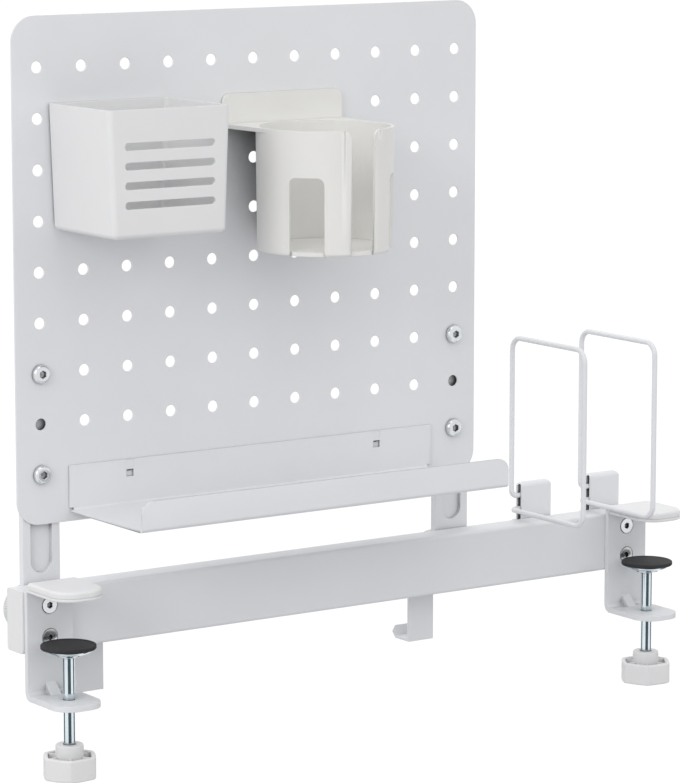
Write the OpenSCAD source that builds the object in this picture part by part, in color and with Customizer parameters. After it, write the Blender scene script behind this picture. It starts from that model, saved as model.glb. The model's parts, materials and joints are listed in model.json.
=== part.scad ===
// Clamp-on desk pegboard organizer: a perforated sheet on two posts, carried by a
// slotted rail that two screw clamps hold on a desk edge, with a bin, a cup holder,
// a shelf, two wire bookends and two bag hooks.
// Frame: X along the desk edge, Y towards the back, Z up. The origin is midway between
// the clamps, on the webs' front face (the desk's edge) and on the desk's top.

/* [Pegboard] */
// Thickness of the board sheet
board_t = 1.5; // [1.2:0.1:1.6]
// Radius of the board's corners
board_r = 18; // [12:1:22]
// Distance between peg holes, both ways
pitch = 36; // [35.8:0.1:36.2]
// Peg holes in one row
hole_columns = 11; // [11]
// Rows of peg holes
hole_rows = 9; // [9]
// Diameter of a peg hole
hole_d = 8.4; // [8.3:0.1:8.6]
// Distance from the outer holes to the board's upright edges
side_margin = 20; // [18:0.5:21]
// Distance from the outer holes to the board's upper and lower edges
end_margin = 36; // [34:0.5:37]
// Height of the lowest row of holes above the desk
low_row_z = 77.5; // [76:0.5:79]

/* [Posts] */
// Width of a post
post_w = 30; // [28:1:31]
// Sheet thickness of a post
post_t = 1.5; // [1.2:0.1:1.6]
// Depth of a post over its flanges
post_depth = 5.5; // [5:0.5:7]
// Reach of a post above its upper bolt
post_over = 17; // [14:1:20]
// Width of the long recess pressed into a post
recess_w = 17.5; // [16:0.5:18]
// Depth of the recess
recess_depth = 3.5; // [3:0.1:3.8]
// Height of the recess's lower end above the desk
recess_low_z = 6.5; // [5:0.5:9]

/* [Rail] */
// Length of the rail to the left of the board
rail_over_left = 8.5; // [8:0.5:10]
// Length of the rail to the right of the board
rail_over_right = 151.5; // [150:0.5:154]
// Height of the rail
rail_h = 45; // [44:0.5:46]
// Depth of the rail
rail_depth = 22; // [21:0.5:23]
// Edge radius of the rail
rail_r = 2.5; // [1.5:0.5:3]
// Wall of the rail
rail_wall = 2; // [1.8:0.1:2.2]
// Drop of the rail's top below the desk's top
rail_drop = 0.5; // [0.3:0.1:1]
// Height of the slot in the rail's back
slot_h = 8; // [7.5:0.5:8.5]
// Height of the channel behind the slot
channel_h = 17; // [16:0.5:18]
// Depth of that channel
channel_depth = 6; // [5.5:0.5:6.5]
// Thickness of an end cap's plate
cap_t = 1.5; // [1:0.1:2]

/* [Clamps] */
// Distance from a clamp's middle to the end of the rail
clamp_inset = 20; // [19:0.5:22]
// Width of a clamp bracket
clamp_w = 37.5; // [36:0.5:38]
// Steel thickness of a bracket
clamp_t = 4; // [3.8:0.1:4.2]
// Reach of the jaws in front of the web
jaw_reach = 48; // [46:0.5:50]
// Radius of the jaws' front corners
jaw_r = 15; // [12:1:17]
// Depth of the lower jaw's top face below the desk's top
jaw_gap = 74.5; // [72:0.5:78]
// Inner radius of the bends
bend_r = 2.5; // [2:0.5:3]
// Skin of the sleeve on the upper jaw
sleeve_t = 1.6; // [1.4:0.1:1.8]
// Distance of the clamp screw's axis in front of the web
screw_reach = 25; // [24:0.5:26]
// Diameter of the clamp screw
screw_d = 8.5; // [8:0.1:9]
// Desk thickness that the clamps are drawn at
desk_t = 35; // [20:1:50]
// Diameter of the rubber pad
pad_d = 39.5; // [38:0.5:40]
// Thickness of the rubber pad
pad_t = 3; // [2.5:0.5:4]
// Size of the clamp knob over its corners
knob_d = 39.4; // [38.5:0.1:40]
// Size of the clamp knob across its sides
knob_w = 37; // [36:0.5:38]
// Height of the clamp knob's rim
knob_rim_h = 16; // [14:1:18]
// Diameter of the clamp knob's hub
knob_hub_d = 20; // [18:0.5:21]
// Rise of the hub above the rim
knob_hub_rise = 8; // [6:1:10]
// Distance from the pad's top to the top of the knob's hub
hub_drop = 71.5; // [70:0.5:75]
// Turn of the left knob about its screw, in degrees
left_turn = -27.5; // [-60:0.5:0]
// Turn of the right knob about its screw, in degrees
right_turn = -33.7; // [-60:0.1:0]

/* [Rail knobs] */
// Diameter of the ribbed rim
grip_d = 34; // [33:0.5:35]
// Thickness of the ribbed rim
grip_t = 10; // [9:0.5:11]
// Ribs round the rim
grip_ribs = 60; // [50:2:64]
// Diameter of the grip's neck
grip_neck_d = 16; // [15:0.5:17]
// Length of the grip's neck
grip_neck_l = 15; // [13:0.5:17]
// Diameter of the rail bolts
rail_bolt_d = 6; // [6]
// Reach of the rail bolts behind the rail
rail_bolt_reach = 12; // [11:0.5:13]

/* [Bin] */
// Width of the bin at its rim
bin_w = 98.6; // [97:0.1:100]
// Depth of the bin
bin_depth = 83.5; // [80:0.5:84]
// Height of the bin
bin_h = 89; // [86:0.5:90]
// Wall of the bin
bin_wall = 2.2; // [2:0.1:2.5]
// Draft of each side over the bin's height
bin_draft = 3.2; // [2:0.1:4]
// Radius of the bin's corners
bin_r = 4; // [3:0.5:5]
// Rise of the bin's rim above the holes that it hangs in
bin_rise = 10.7; // [9:0.1:12]
// Distance of the bin's middle to the right of its two lugs' middle
bin_aside = 3.3; // [2:0.1:4]
// Length of a slot in the bin's front
bin_slot_l = 73; // [70:1:76]
// Height of a slot
bin_slot_h = 5.3; // [5:0.1:6]
// Distance from slot to slot
bin_slot_pitch = 13.5; // [13:0.1:14]
// Height of the lowest slot above the bin's underside
bin_slot_low = 23.2; // [22:0.1:25]
// Slots in the bin's front
bin_slots = 4; // [4]

/* [Cup holder] */
// Outer diameter of the cup at its rim
cup_d = 99.6; // [98:0.1:101]
// Height of the cup
cup_h = 89.2; // [87:0.1:91]
// Wall of the cup
cup_wall = 2.6; // [2.4:0.1:3]
// Draft of the cup's radius over its height
cup_draft = 0.9; // [0.5:0.1:1.4]
// Thickness of the cup's floor
cup_floor = 3; // [2.5:0.5:4]
// Edge radius under the cup
cup_edge_r = 2.5; // [2:0.5:3]
// Distance of the cup's middle to the right of its two lugs' middle
cup_aside = 6; // [5:0.5:7]
// Distance of the cup's axis in front of the board
cup_reach = 57; // [56:0.5:58]
// Drop of the cup's rim below the holes that it hangs in
cup_drop = 10.5; // [9:0.5:12]
// Width of the front slot
cup_slot_w = 20; // [18:0.5:21]
// Width of a window
cup_window_w = 25.8; // [24:0.1:27]
// Height of a window above the floor
cup_window_h = 53; // [50:1:56]
// Turn of each window from the front
cup_window_turn = 50; // [48:1:52]
// Width of the back plate
cup_plate_w = 103.4; // [102:0.1:104]
// Rise of the back plate above the rim
cup_plate_h = 21.4; // [20:0.1:23]
// Thickness of the back plate and the ledge
cup_plate_t = 3; // [2.6:0.1:3.4]

/* [Shelf] */
// Distance from the shelf's ends to the board's upright edges
shelf_inset = 42; // [41:0.5:44]
// Depth of the shelf
shelf_depth = 100; // [97:1:102]
// Height of the shelf's back plate
shelf_back_h = 33.5; // [32:0.5:35]
// Height of the shelf's front lip
shelf_lip_h = 22; // [20:0.5:24]
// Sheet thickness of the shelf
shelf_t = 1.5; // [1.2:0.1:1.6]
// Radius of the lip's corners
shelf_lip_r = 9; // [7:0.5:10]
// Drop of the shelf's underside below the holes that it hangs in
shelf_drop = 29; // [28.5:0.1:29.5]

/* [Bookends] */
// Diameter of the bookend wire
wire_d = 4; // [3.8:0.1:4.2]
// Depth of a wire loop between its uprights
loop_depth = 90; // [86:1:92]
// Height of a wire loop between its bars
loop_h = 135; // [132:1:138]
// Radius of the loop's corners
loop_r = 10; // [8:1:12]
// Radius of the elbows beside the clip
elbow_r = 5; // [4.5:0.5:5.5]
// Width of a bookend clip
clip_w = 28; // [27:0.5:29]
// Sheet thickness of a clip
clip_t = 1.8; // [1.5:0.1:2]
// Rise of a clip above the desk
clip_top_z = 27.5; // [26:0.5:29]
// Distance of the outer clip's middle from the rail's end
clip_inset = 22; // [21:0.5:24]
// Distance between the two clips
clip_spacing = 67.5; // [65:0.5:70]
// Height of the loop's lower bar above the desk
loop_low_z = 6.5; // [6.3:0.1:7]
// Height of the upper wire end above the lower bar
wire_end_rise = 10.5; // [10:0.5:12]

/* [Bag hooks] */
// Width of a bag hook's strap
hook_w = 23; // [22:0.5:24]
// Sheet thickness of a bag hook
hook_t = 2; // [1.8:0.1:2.2]
// Depth of the hook's foot below the desk's top
hook_drop = 85; // [82:1:88]
// Reach of the hook's foot behind the strap
hook_foot = 15.6; // [14:0.5:17]
// Run of the slanted lip, back and up
hook_lip = 7.2; // [6:0.2:8]
// Distance of the left hook to the right of the left post
left_hook_aside = 38.5; // [37:0.5:40]
// Distance of the right hook to the left of the right post
right_hook_aside = 28; // [27:0.5:30]

/* [Fasteners] */
// Head diameter of the board bolts
button_d = 14; // [14]
// Head height of the board bolts
button_h = 4.2; // [4.2]
// Shank diameter of the board bolts
board_bolt_d = 8; // [8]
// Hexagon socket of the board bolts, across the flats
button_socket = 5; // [5]
// Nut size of the board bolts, across the flats
board_nut_af = 13; // [13]
// Nut height of the board bolts
board_nut_h = 6.5; // [6.5]
// Head diameter of the clamp mounting screws
flat_head_d = 13; // [12:0.5:13.5]
// Shank diameter of the clamp mounting screws
flat_shank_d = 6; // [6]
// Hexagon socket of the clamp mounting screws
flat_socket = 4; // [4]
// Distance between the two mounting screws of a clamp
flat_pitch = 23; // [22:0.5:24]

/* [Hidden] */

$fn = 64;
// Overrun of a cut past the face it opens
cut = 1;
// Clearance round a bolt in its hole
bolt_gap = 0.2;
// Clearance of a seated piece
seat_gap = 0.15;
// Running clearance of a turning shaft, all round
run_gap = 0.08;
// Clearance of a thread in its nut, all round
thread_gap = 0.05;

white_steel = [0.90, 0.91, 0.92];
white_plastic = [0.93, 0.93, 0.93];
rail_white = [0.88, 0.89, 0.90];
zinc = [0.78, 0.79, 0.80];
black_rubber = [0.12, 0.12, 0.12];

// Planes shared by the pieces, front to back
web_front_y = 0;
rail_front_y = web_front_y + clamp_t;
rail_back_y = rail_front_y + rail_depth;
board_back_y = rail_back_y;
board_front_y = board_back_y - board_t;
rail_top_z = -rail_drop;
rail_mid_z = rail_top_z - rail_h / 2;
rail_low_z = rail_top_z - rail_h;
grid_w = (hole_columns - 1) * pitch;
grid_h = (hole_rows - 1) * pitch;
board_w = grid_w + 2 * side_margin;
board_h = grid_h + 2 * end_margin;
rail_len = rail_over_left + board_w + rail_over_right;
board_x = rail_over_left + board_w / 2 - rail_len / 2;
board_mid_z = low_row_z + grid_h / 2;
first_hole_x = board_x - grid_w / 2;
post_places = [first_hole_x, first_hole_x + grid_w];
// Rows that hold the board bolts, counted from the bottom
bolt_rows = [0, 2];
bolt_heights = [for (row = bolt_rows) low_row_z + row * pitch];
clamp_places = [clamp_inset - rail_len / 2, rail_len / 2 - clamp_inset];
clip_places = [rail_len / 2 - clip_inset - clip_spacing, rail_len / 2 - clip_inset];
hook_places = [post_places[0] + left_hook_aside, post_places[1] - right_hook_aside];

function row_z(row) = low_row_z + row * pitch;
function column_x(column) = first_hole_x + column * pitch;

// Flat shapes

module round_rect(w, h, r) {
    square([w - 2 * r, h], center = true);
    square([w, h - 2 * r], center = true);
    for (sx = [-1, 1], sy = [-1, 1])
        translate([sx * (w / 2 - r), sy * (h / 2 - r)])
            circle(r);
}

module stadium(l, w) {
    square([l - w, w], center = true);
    for (sx = [-1, 1])
        translate([sx * (l - w) / 2, 0])
            circle(d = w);
}

module hexagon(af) {
    circle(d = af / cos(30), $fn = 6);
}

// What a rounded corner leaves of its square, with an overrun past both outer faces
module corner_waste(r) {
    difference() {
        square([r + cut, r + cut]);
        circle(r);
    }
}

// A flat shape drawn in X and Z, given a thickness from y forwards to the back
module upright(y, t) {
    translate([0, y + t, 0])
        rotate([90, 0, 0])
            linear_extrude(t)
                children();
}

// A section drawn in Y and Z, run along X about the middle
module along_x(l) {
    rotate([90, 0, 90])
        linear_extrude(l, center = true)
            children();
}

// A round piece along Y, from y to y + l
module rod_y(y, l, d) {
    translate([0, y + l, 0])
        rotate([90, 0, 0])
            cylinder(d = d, h = l);
}

// Pegboard

module board() {
    color(white_steel)
        translate([board_x, 0, board_mid_z])
            upright(board_front_y, board_t)
                difference() {
                    round_rect(board_w, board_h, board_r);
                    for (column = [0 : hole_columns - 1], row = [0 : hole_rows - 1])
                        translate([
                            column_x(column) - board_x,
                            row_z(row) - board_mid_z
                        ])
                            circle(d = hole_d, $fn = 48);
                }
}

// Posts: a shallow channel, open to the back, with one long pressed recess

post_low_z = rail_low_z + post_t;
post_top_z = row_z(bolt_rows[1]) + post_over;
recess_top_z = post_top_z - (post_w - recess_w) / 2;
recess_len = recess_top_z - recess_low_z;
recess_mid_z = (recess_top_z + recess_low_z) / 2;
recess_floor_y = board_back_y + recess_depth;

module recess_outline(grow) {
    rotate(90)
        stadium(recess_len + 2 * grow, recess_w + 2 * grow);
}

module post(x) {
    post_len = post_top_z - post_low_z;
    color(white_steel)
        translate([x, 0, 0])
            difference() {
                union() {
                    translate([0, 0, (post_top_z + post_low_z) / 2])
                        difference() {
                            upright(board_back_y, post_depth)
                                round_rect(post_w, post_len, post_t);
                            upright(board_back_y + post_t, post_depth)
                                square([post_w - 2 * post_t, post_len + cut], center = true);
                        }
                    translate([0, 0, recess_mid_z])
                        upright(board_back_y, recess_depth + post_t)
                            recess_outline(post_t);
                }
                translate([0, 0, recess_mid_z])
                    upright(board_back_y - cut, recess_depth + cut)
                        recess_outline(0);
                for (z = bolt_heights)
                    translate([0, 0, z])
                        rod_y(board_back_y - cut, post_depth + 2 * cut, hole_d);
                translate([0, 0, rail_mid_z])
                    rod_y(board_back_y - cut, post_depth, rail_bolt_d + 2 * bolt_gap);
            }
}

module at_board_bolts() {
    for (x = post_places, z = bolt_heights)
        translate([x, 0, z])
            children();
}

// Button head: a low dome cut flat in front, with a hexagon socket
module button_head() {
    dome_r = button_d / 2;
    edge_h = button_h / 4;
    face_r = dome_r * 0.62;
    rotate([90, 0, 0])
        difference() {
            rotate_extrude()
                polygon(concat(
                    [[0, 0], [dome_r, 0], [dome_r, edge_h]],
                    [for (a = [15 : 15 : 75])
                        [face_r + (dome_r - face_r) * cos(a),
                         edge_h + (button_h - edge_h) * sin(a)]],
                    [[face_r, button_h], [0, button_h]]
                ));
            translate([0, 0, button_h / 3])
                linear_extrude(button_h)
                    hexagon(button_socket);
        }
}

nut_y = recess_floor_y + post_t;

module board_bolts() {
    shank_l = nut_y + board_nut_h + post_t - board_front_y;
    color(zinc)
        at_board_bolts() {
            translate([0, board_front_y, 0])
                button_head();
            rod_y(board_front_y, shank_l, board_bolt_d);
        }
}

module board_spacers() {
    spacer_d = recess_w - post_t;
    color(zinc)
        at_board_bolts()
            difference() {
                rod_y(board_back_y, recess_depth, spacer_d);
                rod_y(board_back_y - cut, recess_depth + 2 * cut, board_bolt_d + 2 * bolt_gap);
            }
}

module board_nuts() {
    color(zinc)
        at_board_bolts()
            difference() {
                upright(nut_y, board_nut_h)
                    hexagon(board_nut_af);
                rod_y(nut_y - cut, board_nut_h + 2 * cut, board_bolt_d + 2 * thread_gap);
            }
}

// Rail: a hollow section with a T-shaped channel that opens in the back

channel_back = rail_depth - rail_wall;
channel_front = channel_back - channel_depth;

module rail_section() {
    hollow_depth = rail_depth - 2 * rail_wall;
    hollow_h = rail_h - 2 * rail_wall;
    box_depth = channel_depth + 2 * rail_wall;
    difference() {
        translate([rail_depth / 2, 0])
            round_rect(rail_depth, rail_h, rail_r);
        difference() {
            translate([rail_depth / 2, 0])
                square([hollow_depth, hollow_h], center = true);
            translate([rail_depth - box_depth / 2, 0])
                square([box_depth, channel_h + 2 * rail_wall], center = true);
        }
        translate([channel_front + channel_depth / 2, 0])
            square([channel_depth, channel_h], center = true);
        translate([channel_back - cut, -slot_h / 2])
            square([rail_wall + 2 * cut, slot_h]);
    }
}

module rail() {
    color(rail_white)
        difference() {
            translate([0, rail_front_y, rail_mid_z])
                along_x(rail_len - 2 * cap_t)
                    rail_section();
            for (x = clamp_places)
                translate([x, 0, 0])
                    mounting_screw_places()
                        rod_y(web_front_y, clamp_t + rail_wall + cut, flat_shank_d + 2 * bolt_gap);
        }
}

module rail_end_caps() {
    plug_depth = channel_front - 2 * rail_wall - 2 * seat_gap;
    plug_h = rail_h - 2 * rail_wall - 2 * seat_gap;
    plug_l = 4;
    color(white_plastic)
        for (side = [-1, 1])
            translate([side * (rail_len - cap_t) / 2, rail_front_y, rail_mid_z]) {
                along_x(cap_t)
                    translate([rail_depth / 2, 0])
                        round_rect(rail_depth, rail_h, rail_r);
                translate([-side * (plug_l + cap_t) / 2, 0, 0])
                    along_x(plug_l)
                        translate([rail_wall + seat_gap + plug_depth / 2, 0])
                            square([plug_depth, plug_h], center = true);
            }
}

// Bolts whose square heads slide in the rail's channel

head_side = channel_h - 2 * bolt_gap;
head_t = 4;
rail_bolt_end_y = rail_back_y + rail_bolt_reach;

module rail_bolt(x) {
    head_y = rail_front_y + channel_back - head_t - bolt_gap;
    translate([x, 0, rail_mid_z]) {
        upright(head_y, head_t)
            square([rail_bolt_d * 2, head_side], center = true);
        rod_y(head_y, rail_bolt_end_y - head_y, rail_bolt_d);
    }
}

module post_rail_bolts() {
    color(zinc)
        for (x = post_places)
            rail_bolt(x);
}

washer_t = 1.6;
washer_d = 18;
washer_y = board_back_y + post_t;

module post_washers() {
    color(zinc)
        for (x = post_places)
            translate([x, 0, rail_mid_z])
                difference() {
                    rod_y(washer_y, washer_t, washer_d);
                    rod_y(washer_y - cut, washer_t + 2 * cut, rail_bolt_d + 2 * bolt_gap);
                }
}

// Grip knob with a ribbed rim on a neck, threaded on a rail bolt
module grip_knob(x, y) {
    rib_d = 1.4;
    edge = 1.2;
    core_r = (grip_d - rib_d) / 2;
    rim_low = grip_neck_l;
    rim_high = grip_neck_l + grip_t;
    color(white_plastic)
        translate([x, y, rail_mid_z])
            rotate([-90, 0, 0])
                difference() {
                    union() {
                        rotate_extrude()
                            polygon([
                                [0, 0],
                                [grip_neck_d / 2 - edge / 2, 0],
                                [grip_neck_d / 2, edge / 2],
                                [grip_neck_d / 2, rim_low],
                                [core_r - edge, rim_low],
                                [core_r, rim_low + edge],
                                [core_r, rim_high - edge],
                                [core_r - edge, rim_high],
                                [0, rim_high]
                            ]);
                        for (i = [0 : grip_ribs - 1])
                            rotate((i + 0.5) * 360 / grip_ribs)
                                translate([core_r, 0, rim_low + edge / 2])
                                    cylinder(d = rib_d, h = grip_t - edge, $fn = 16);
                    }
                    translate([0, 0, -cut])
                        cylinder(d = rail_bolt_d + 2 * thread_gap, h = rail_bolt_end_y - y + cut + bolt_gap);
                }
}

post_knob_y = washer_y + washer_t;

module left_post_knob() {
    grip_knob(post_places[0], post_knob_y);
}

module right_post_knob() {
    grip_knob(post_places[1], post_knob_y);
}

// Clamps: one bent strip makes the upper jaw, the web and the lower jaw

upper_low_z = sleeve_t;
upper_top_z = upper_low_z + clamp_t;
lower_top_z = -jaw_gap;
lower_low_z = lower_top_z - clamp_t;
outer_bend_r = bend_r + clamp_t;
rod_y_place = web_front_y - screw_reach;

// Quarter of the bent strip, drawn from its bend centre towards -Y and +Z
module bend_quarter() {
    difference() {
        circle(outer_bend_r);
        circle(bend_r);
        translate([-outer_bend_r - cut, -outer_bend_r - cut])
            square([outer_bend_r + cut, 2 * (outer_bend_r + cut)]);
        translate([-cut, -outer_bend_r - cut])
            square([outer_bend_r + 2 * cut, outer_bend_r + cut]);
    }
}

module clamp_section() {
    bend_y = web_front_y - bend_r;
    translate([web_front_y, lower_top_z + bend_r])
        square([clamp_t, upper_low_z - bend_r - lower_top_z - bend_r]);
    translate([bend_y, upper_low_z - bend_r])
        bend_quarter();
    translate([bend_y, lower_top_z + bend_r])
        mirror([0, 1])
            bend_quarter();
    translate([-jaw_reach, upper_low_z])
        square([jaw_reach + bend_y, clamp_t]);
    translate([-jaw_reach, lower_low_z])
        square([jaw_reach + bend_y, clamp_t]);
}

// Plan of a jaw: straight at the back, with round front corners
module jaw_plan(w, reach, r) {
    translate([-w / 2, -reach + r])
        square([w, reach - r + rail_front_y]);
    translate([-w / 2 + r, -reach])
        square([w - 2 * r, reach]);
    for (side = [-1, 1])
        translate([side * (w / 2 - r), -reach + r])
            circle(r);
}

// Pressed gusset that stiffens the lower bend
module bend_gusset() {
    gusset_w = 8;
    gusset = 8;
    along_x(gusset_w)
        translate([web_front_y, lower_top_z])
            polygon([[0, 0], [-gusset, 0], [0, gusset]]);
}

module mounting_screw_places() {
    for (side = [-1, 1])
        translate([0, 0, rail_mid_z + side * flat_pitch / 2])
            children();
}

head_cone_h = (flat_head_d - flat_shank_d) / 2;

// Countersunk head and shank, or the hole that takes them
module flat_screw(l, gap) {
    rotate([-90, 0, 0]) {
        cylinder(d1 = flat_head_d + 2 * gap, d2 = flat_shank_d + 2 * gap, h = head_cone_h);
        cylinder(d = flat_shank_d + 2 * gap, h = l);
    }
}

module clamp_bracket(x) {
    color(white_steel)
        translate([x, 0, 0])
            difference() {
                intersection() {
                    union() {
                        along_x(clamp_w)
                            clamp_section();
                        bend_gusset();
                    }
                    translate([0, 0, lower_low_z - cut])
                        linear_extrude(upper_top_z - lower_low_z + 2 * cut)
                            jaw_plan(clamp_w, jaw_reach, jaw_r);
                }
                mounting_screw_places() {
                    translate([0, web_front_y, 0])
                        flat_screw(clamp_t + cut, bolt_gap);
                    rod_y(web_front_y - cut, cut, flat_head_d + 2 * bolt_gap);
                }
                translate([0, rod_y_place, lower_low_z - cut])
                    cylinder(d = screw_d + 2 * run_gap, h = clamp_t + 2 * cut);
            }
}

screw_l = 14;

module mounting_screws(x) {
    color(zinc)
        translate([x, web_front_y, 0])
            mounting_screw_places()
                difference() {
                    flat_screw(screw_l, 0);
                    upright(-cut, cut + head_cone_h * 0.75)
                        hexagon(flat_socket);
                }
}

// Tapped plate inside the rail that the mounting screws pull against
module nut_plate(x) {
    plate_t = 5;
    plate_w = clamp_w * 2 / 3;
    plate_h = rail_h - 2 * rail_wall - 2 * bolt_gap;
    color(zinc)
        translate([x, 0, rail_mid_z])
            difference() {
                upright(rail_front_y + rail_wall, plate_t)
                    square([plate_w, plate_h], center = true);
                for (side = [-1, 1])
                    translate([0, 0, side * flat_pitch / 2])
                        rod_y(rail_front_y, plate_t + rail_wall + cut, flat_shank_d + 2 * thread_gap);
            }
}

// Soft sleeve over the upper jaw
module jaw_sleeve(x) {
    sleeve_w = clamp_w + 2 * sleeve_t;
    sleeve_h = clamp_t + 2 * sleeve_t;
    sleeve_reach = jaw_reach + 2 * sleeve_t;
    sleeve_back = outer_bend_r / 2;
    sleeve_l = sleeve_reach - sleeve_back;
    edge = sleeve_t;
    color(white_plastic)
        translate([x, 0, 0])
            difference() {
                intersection() {
                    linear_extrude(sleeve_h)
                        jaw_plan(sleeve_w, sleeve_reach, jaw_r + sleeve_t);
                    translate([0, -sleeve_back - sleeve_l / 2, sleeve_h / 2])
                        along_x(sleeve_w)
                            round_rect(sleeve_l, sleeve_h, edge);
                    translate([0, 0, sleeve_h / 2])
                        upright(-sleeve_reach, sleeve_l)
                            round_rect(sleeve_w, sleeve_h, edge);
                }
                translate([0, 0, upper_low_z - seat_gap])
                    linear_extrude(clamp_t + 2 * seat_gap)
                        jaw_plan(clamp_w + 2 * seat_gap, jaw_reach + seat_gap, jaw_r + seat_gap);
            }
}

// Pad: a rubber disc on a steel dish with a step and a collar for the screw's end

pad_top_z = -desk_t;
pad_low_z = pad_top_z - pad_t;
dish_h = 3.5;
dish_r = pad_d / 2 - 2.2;
step_r = 9.2;
step_h = 1.6;
collar_r = screw_d / 2 + 1;
collar_h = 1.2;
cup_low_z = pad_low_z - dish_h - step_h - collar_h;

module pad_rubber(x) {
    edge = pad_t / 3;
    color(black_rubber)
        translate([x, rod_y_place, pad_low_z])
            rotate_extrude() {
                square([pad_d / 2 - edge, pad_t]);
                translate([0, edge])
                    square([pad_d / 2, pad_t - 2 * edge]);
                for (z = [edge, pad_t - edge])
                    translate([pad_d / 2 - edge, z])
                        circle(edge);
            }
}

module pad_cup(x) {
    dish_z = collar_h + step_h;
    edge = 1.2;
    color(zinc)
        translate([x, rod_y_place, cup_low_z])
            difference() {
                rotate_extrude()
                    polygon([
                        [0, 0],
                        [collar_r, 0],
                        [collar_r, collar_h],
                        [step_r, collar_h],
                        [step_r, dish_z],
                        [dish_r * 0.72, dish_z],
                        [dish_r - edge, dish_z + edge * 0.6],
                        [dish_r, dish_z + 1.4 * edge],
                        [dish_r, dish_z + dish_h],
                        [0, dish_z + dish_h]
                    ]);
                translate([0, 0, -cut])
                    cylinder(d = screw_d + 2 * run_gap, h = collar_h + step_h + cut);
            }
}

hub_top_z = pad_top_z - hub_drop;
rim_top_z = hub_top_z - knob_hub_rise;
knob_low_z = rim_top_z - knob_rim_h;
screw_top_z = pad_low_z - dish_h - 2 * run_gap;
screw_low_z = knob_low_z + knob_rim_h / 3;

module clamp_screw(x) {
    tip = 1;
    color(zinc)
        translate([x, rod_y_place, screw_low_z])
            rotate_extrude()
                polygon([
                    [0, 0],
                    [screw_d / 2, 0],
                    [screw_d / 2, screw_top_z - screw_low_z - tip],
                    [screw_d / 2 - tip, screw_top_z - screw_low_z],
                    [0, screw_top_z - screw_low_z]
                ]);
}

// Six shallow arcs meet in six blunt corners
module knob_plan(inset) {
    side_r = knob_w * 1.2;
    intersection() {
        circle(knob_d / 2 - inset);
        intersection_for(i = [0 : 5])
            rotate(i * 60)
                translate([knob_w / 2 - side_r, 0])
                    circle(side_r - inset, $fn = 96);
    }
}

module clamp_knob(x, turn) {
    rim_wall = 2.4;
    recess = 9;
    hub_r = knob_hub_d / 2;
    edge = 1.2;
    color(white_plastic)
        translate([x, rod_y_place, knob_low_z])
            rotate(turn)
                difference() {
                    union() {
                        difference() {
                            linear_extrude(knob_rim_h)
                                knob_plan(0);
                            translate([0, 0, knob_rim_h - recess])
                                linear_extrude(recess + cut)
                                    knob_plan(rim_wall);
                        }
                        rotate_extrude() {
                            square([hub_r, knob_rim_h + knob_hub_rise - edge]);
                            square([hub_r - edge, knob_rim_h + knob_hub_rise]);
                            translate([hub_r - edge, knob_rim_h + knob_hub_rise - edge])
                                circle(edge);
                        }
                    }
                    translate([0, 0, screw_low_z - knob_low_z - thread_gap])
                        cylinder(d = screw_d + 2 * thread_gap, h = knob_rim_h + knob_hub_rise + cut);
                }
}

// Bag hooks: a flat strap behind the rail, a foot and a slanted lip

hook_top_z = rail_top_z - 4 * hook_t;
hook_low_z = -hook_drop;

module bag_hook(x) {
    hole_z = rail_mid_z;
    foot_end = hook_t + hook_foot;
    lip_end = foot_end + hook_lip;
    slant_t = hook_t * sqrt(2);
    corner = 4;
    color(white_steel)
        translate([x, 0, 0])
            difference() {
                along_x(hook_w)
                    translate([rail_back_y, hook_low_z])
                        polygon([
                            [0, 0],
                            [foot_end, 0],
                            [lip_end, hook_lip],
                            [lip_end - slant_t / 2, hook_lip + slant_t / 2],
                            [foot_end - slant_t / 2, hook_t],
                            [hook_t, hook_t],
                            [hook_t, hook_top_z - hook_low_z],
                            [0, hook_top_z - hook_low_z]
                        ]);
                translate([0, 0, hole_z])
                    rod_y(rail_back_y - cut, hook_t + 2 * cut, rail_bolt_d + 2 * bolt_gap);
                for (side = [-1, 1])
                    translate([side * hook_w / 2, rail_back_y + lip_end, hook_low_z + hook_lip])
                        rotate([-45, 0, 0])
                            rotate([90, 0, 0])
                                rotate(45)
                                    cube(corner * sqrt(2), center = true);
            }
}

module hook_bolt(x) {
    color(zinc)
        rail_bolt(x);
}

thumb_d = 15;
thumb_t = 8;

module hook_nut(x) {
    ribs = 24;
    rib_d = 1.4;
    color(white_plastic)
        translate([x, rail_back_y + hook_t, rail_mid_z])
            rotate([-90, 0, 0])
                difference() {
                    union() {
                        cylinder(d = thumb_d, h = thumb_t);
                        for (i = [0 : ribs - 1])
                            rotate(i * 360 / ribs)
                                translate([thumb_d / 2, 0, 0])
                                    cylinder(d = rib_d, h = thumb_t, $fn = 16);
                    }
                    translate([0, 0, -cut])
                        cylinder(d = rail_bolt_d + 2 * thread_gap, h = thumb_t + 2 * cut);
                }
}

// Bookend clips: a sheet folded over the wire ends, clamped behind the rail

clip_gap = wire_d + 2 * run_gap;
clip_depth = 2 * clip_t + clip_gap;
fold_r = clip_depth / 2;
clip_low_z = rail_low_z + 4 * clip_t;
clip_tail_z = rail_top_z - 2 * clip_t;
wire_y = rail_back_y + clip_depth / 2;

module clip_fold_section() {
    difference() {
        circle(fold_r);
        circle(fold_r - clip_t);
        translate([-fold_r - cut, -fold_r - cut])
            square([2 * (fold_r + cut), fold_r + cut]);
    }
}

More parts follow.
